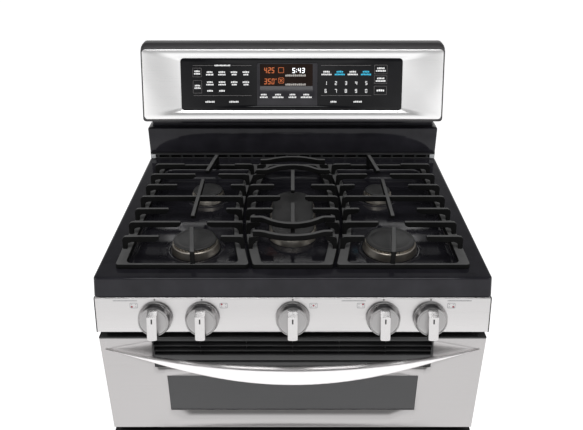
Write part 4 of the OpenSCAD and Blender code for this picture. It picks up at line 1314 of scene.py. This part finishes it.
FINISH = {
    "side_panel_left": (PAINT, 0.4), "side_panel_right": (PAINT, 0.4), "kick_plate": (PAINT, 0.5),
    "rear_panel": (STEEL_DARK, 0.3), "chassis": (STEEL_DARK, 0.5), "oven_burners": (ALUMINIUM, 0.3),
    "levelling_legs": (ZINC, 0.8), "upper_oven_liner": (OVEN, 0.5), "lower_oven_liner": (OVEN, 0.5),
    "upper_oven_rack": (WIRE, 0), "lower_oven_rack": (WIRE, 0), "convection_fan": (ZINC, 0.3),
    "fan_cover": (OVEN, 0.5), "door_gaskets": (RUBBER, 1.0), "gas_manifold": (ZINC, 0.3),
    "valve_bodies": (BRASS, 0.8), "gas_regulator": (ALUMINIUM, 1.5)}
for index_ in range(1, 6):
    FINISH["valve_rotor_%d" % index_] = (BRASS, 0.2)
for name, (material, edge) in FINISH.items():
    node = NODES[name]
    node.data.materials.clear()
    node.data.materials.append(material)
    if edge:
        mod = node.modifiers.new("edges", "BEVEL")
        mod.width = edge * MM
        mod.segments = 2
        mod.limit_method = "ANGLE"
        mod.angle_limit = math.radians(40)


# ------------------------------------------------------------------ floor, light, camera

def studio():
    scene = bpy.context.scene
    mesh = bpy.data.meshes.new("studio_floor")
    size = 14
    corners = [(-size, -size, 0), (size, -size, 0), (size, size, 0), (-size, size, 0)]
    mesh.from_pydata(corners, [], [(0, 1, 2, 3)])
    floor = bpy.data.objects.new("studio_floor", mesh)
    scene.collection.objects.link(floor)
    mat, tree, shader = new_material("floor_pale")
    soft = noise(tree, (3, 3, 3), detail=3)
    pale = ramp(tree, soft, [(0.3, (0.9, 0.9, 0.9)), (0.7, (0.93, 0.93, 0.93))])
    tree.links.new(pale, shader.inputs["Base Color"])
    shade(shader, Roughness=0.9, Emission_Color=(1, 1, 1, 1), Emission_Strength=0.78)
    mesh.materials.append(mat)
    world = bpy.data.worlds.new("studio")
    scene.world = world
    world.use_nodes = True
    back = next(n for n in world.node_tree.nodes if n.type == "BACKGROUND")
    tree = world.node_tree
    coords = add_node(tree, "ShaderNodeTexCoord")
    split = add_node(tree, "ShaderNodeSeparateXYZ")
    tree.links.new(coords.outputs["Generated"], split.inputs[0])
    sky = ramp(tree, spread(tree, split.outputs["Z"], 0.5, 1.0), [
        (0.5, (1.0, 1.0, 1.0)), (0.6, (0.98, 0.98, 0.98)), (0.7, (0.18, 0.18, 0.18)),
        (1.0, (0.13, 0.13, 0.13))])
    tree.links.new(sky, back.inputs["Color"])
    back.inputs["Strength"].default_value = 1.2

    def area(name, place, aim, size_x, size_y, power):
        light = bpy.data.lights.new(name, "AREA")
        light.shape = "RECTANGLE"
        light.size, light.size_y = size_x, size_y
        light.energy = power
        obj = bpy.data.objects.new(name, light)
        scene.collection.objects.link(obj)
        obj.location = place
        obj.rotation_euler = (Vector(aim) - Vector(place)).to_track_quat("-Z", "Y").to_euler()
    area("key", (0.0, -1.3, 3.3), (0, -0.1, 0.9), 2.2, 0.9, 27)
    area("left", (-2.6, -0.9, 2.2), (0, 0, 0.8), 1.4, 1.8, 11)
    area("right", (2.6, -0.9, 2.2), (0, 0, 0.8), 1.4, 1.8, 11)
    scene.view_settings.view_transform = "Standard"
    cam = bpy.data.cameras.new("camera")
    cam.sensor_width = 36
    cam.lens = 40.69                       # fitted to the photograph, as are the place and the tilt
    cam.shift_x = -0.0021
    cam.clip_start, cam.clip_end = 0.05, 50
    cam.dof.use_dof = False
    obj = bpy.data.objects.new("camera", cam)
    scene.collection.objects.link(obj)
    obj.location = deck(0, -1046, 690.6)
    obj.rotation_euler = (math.radians(62), 0, 0)
    scene.camera = obj


studio()
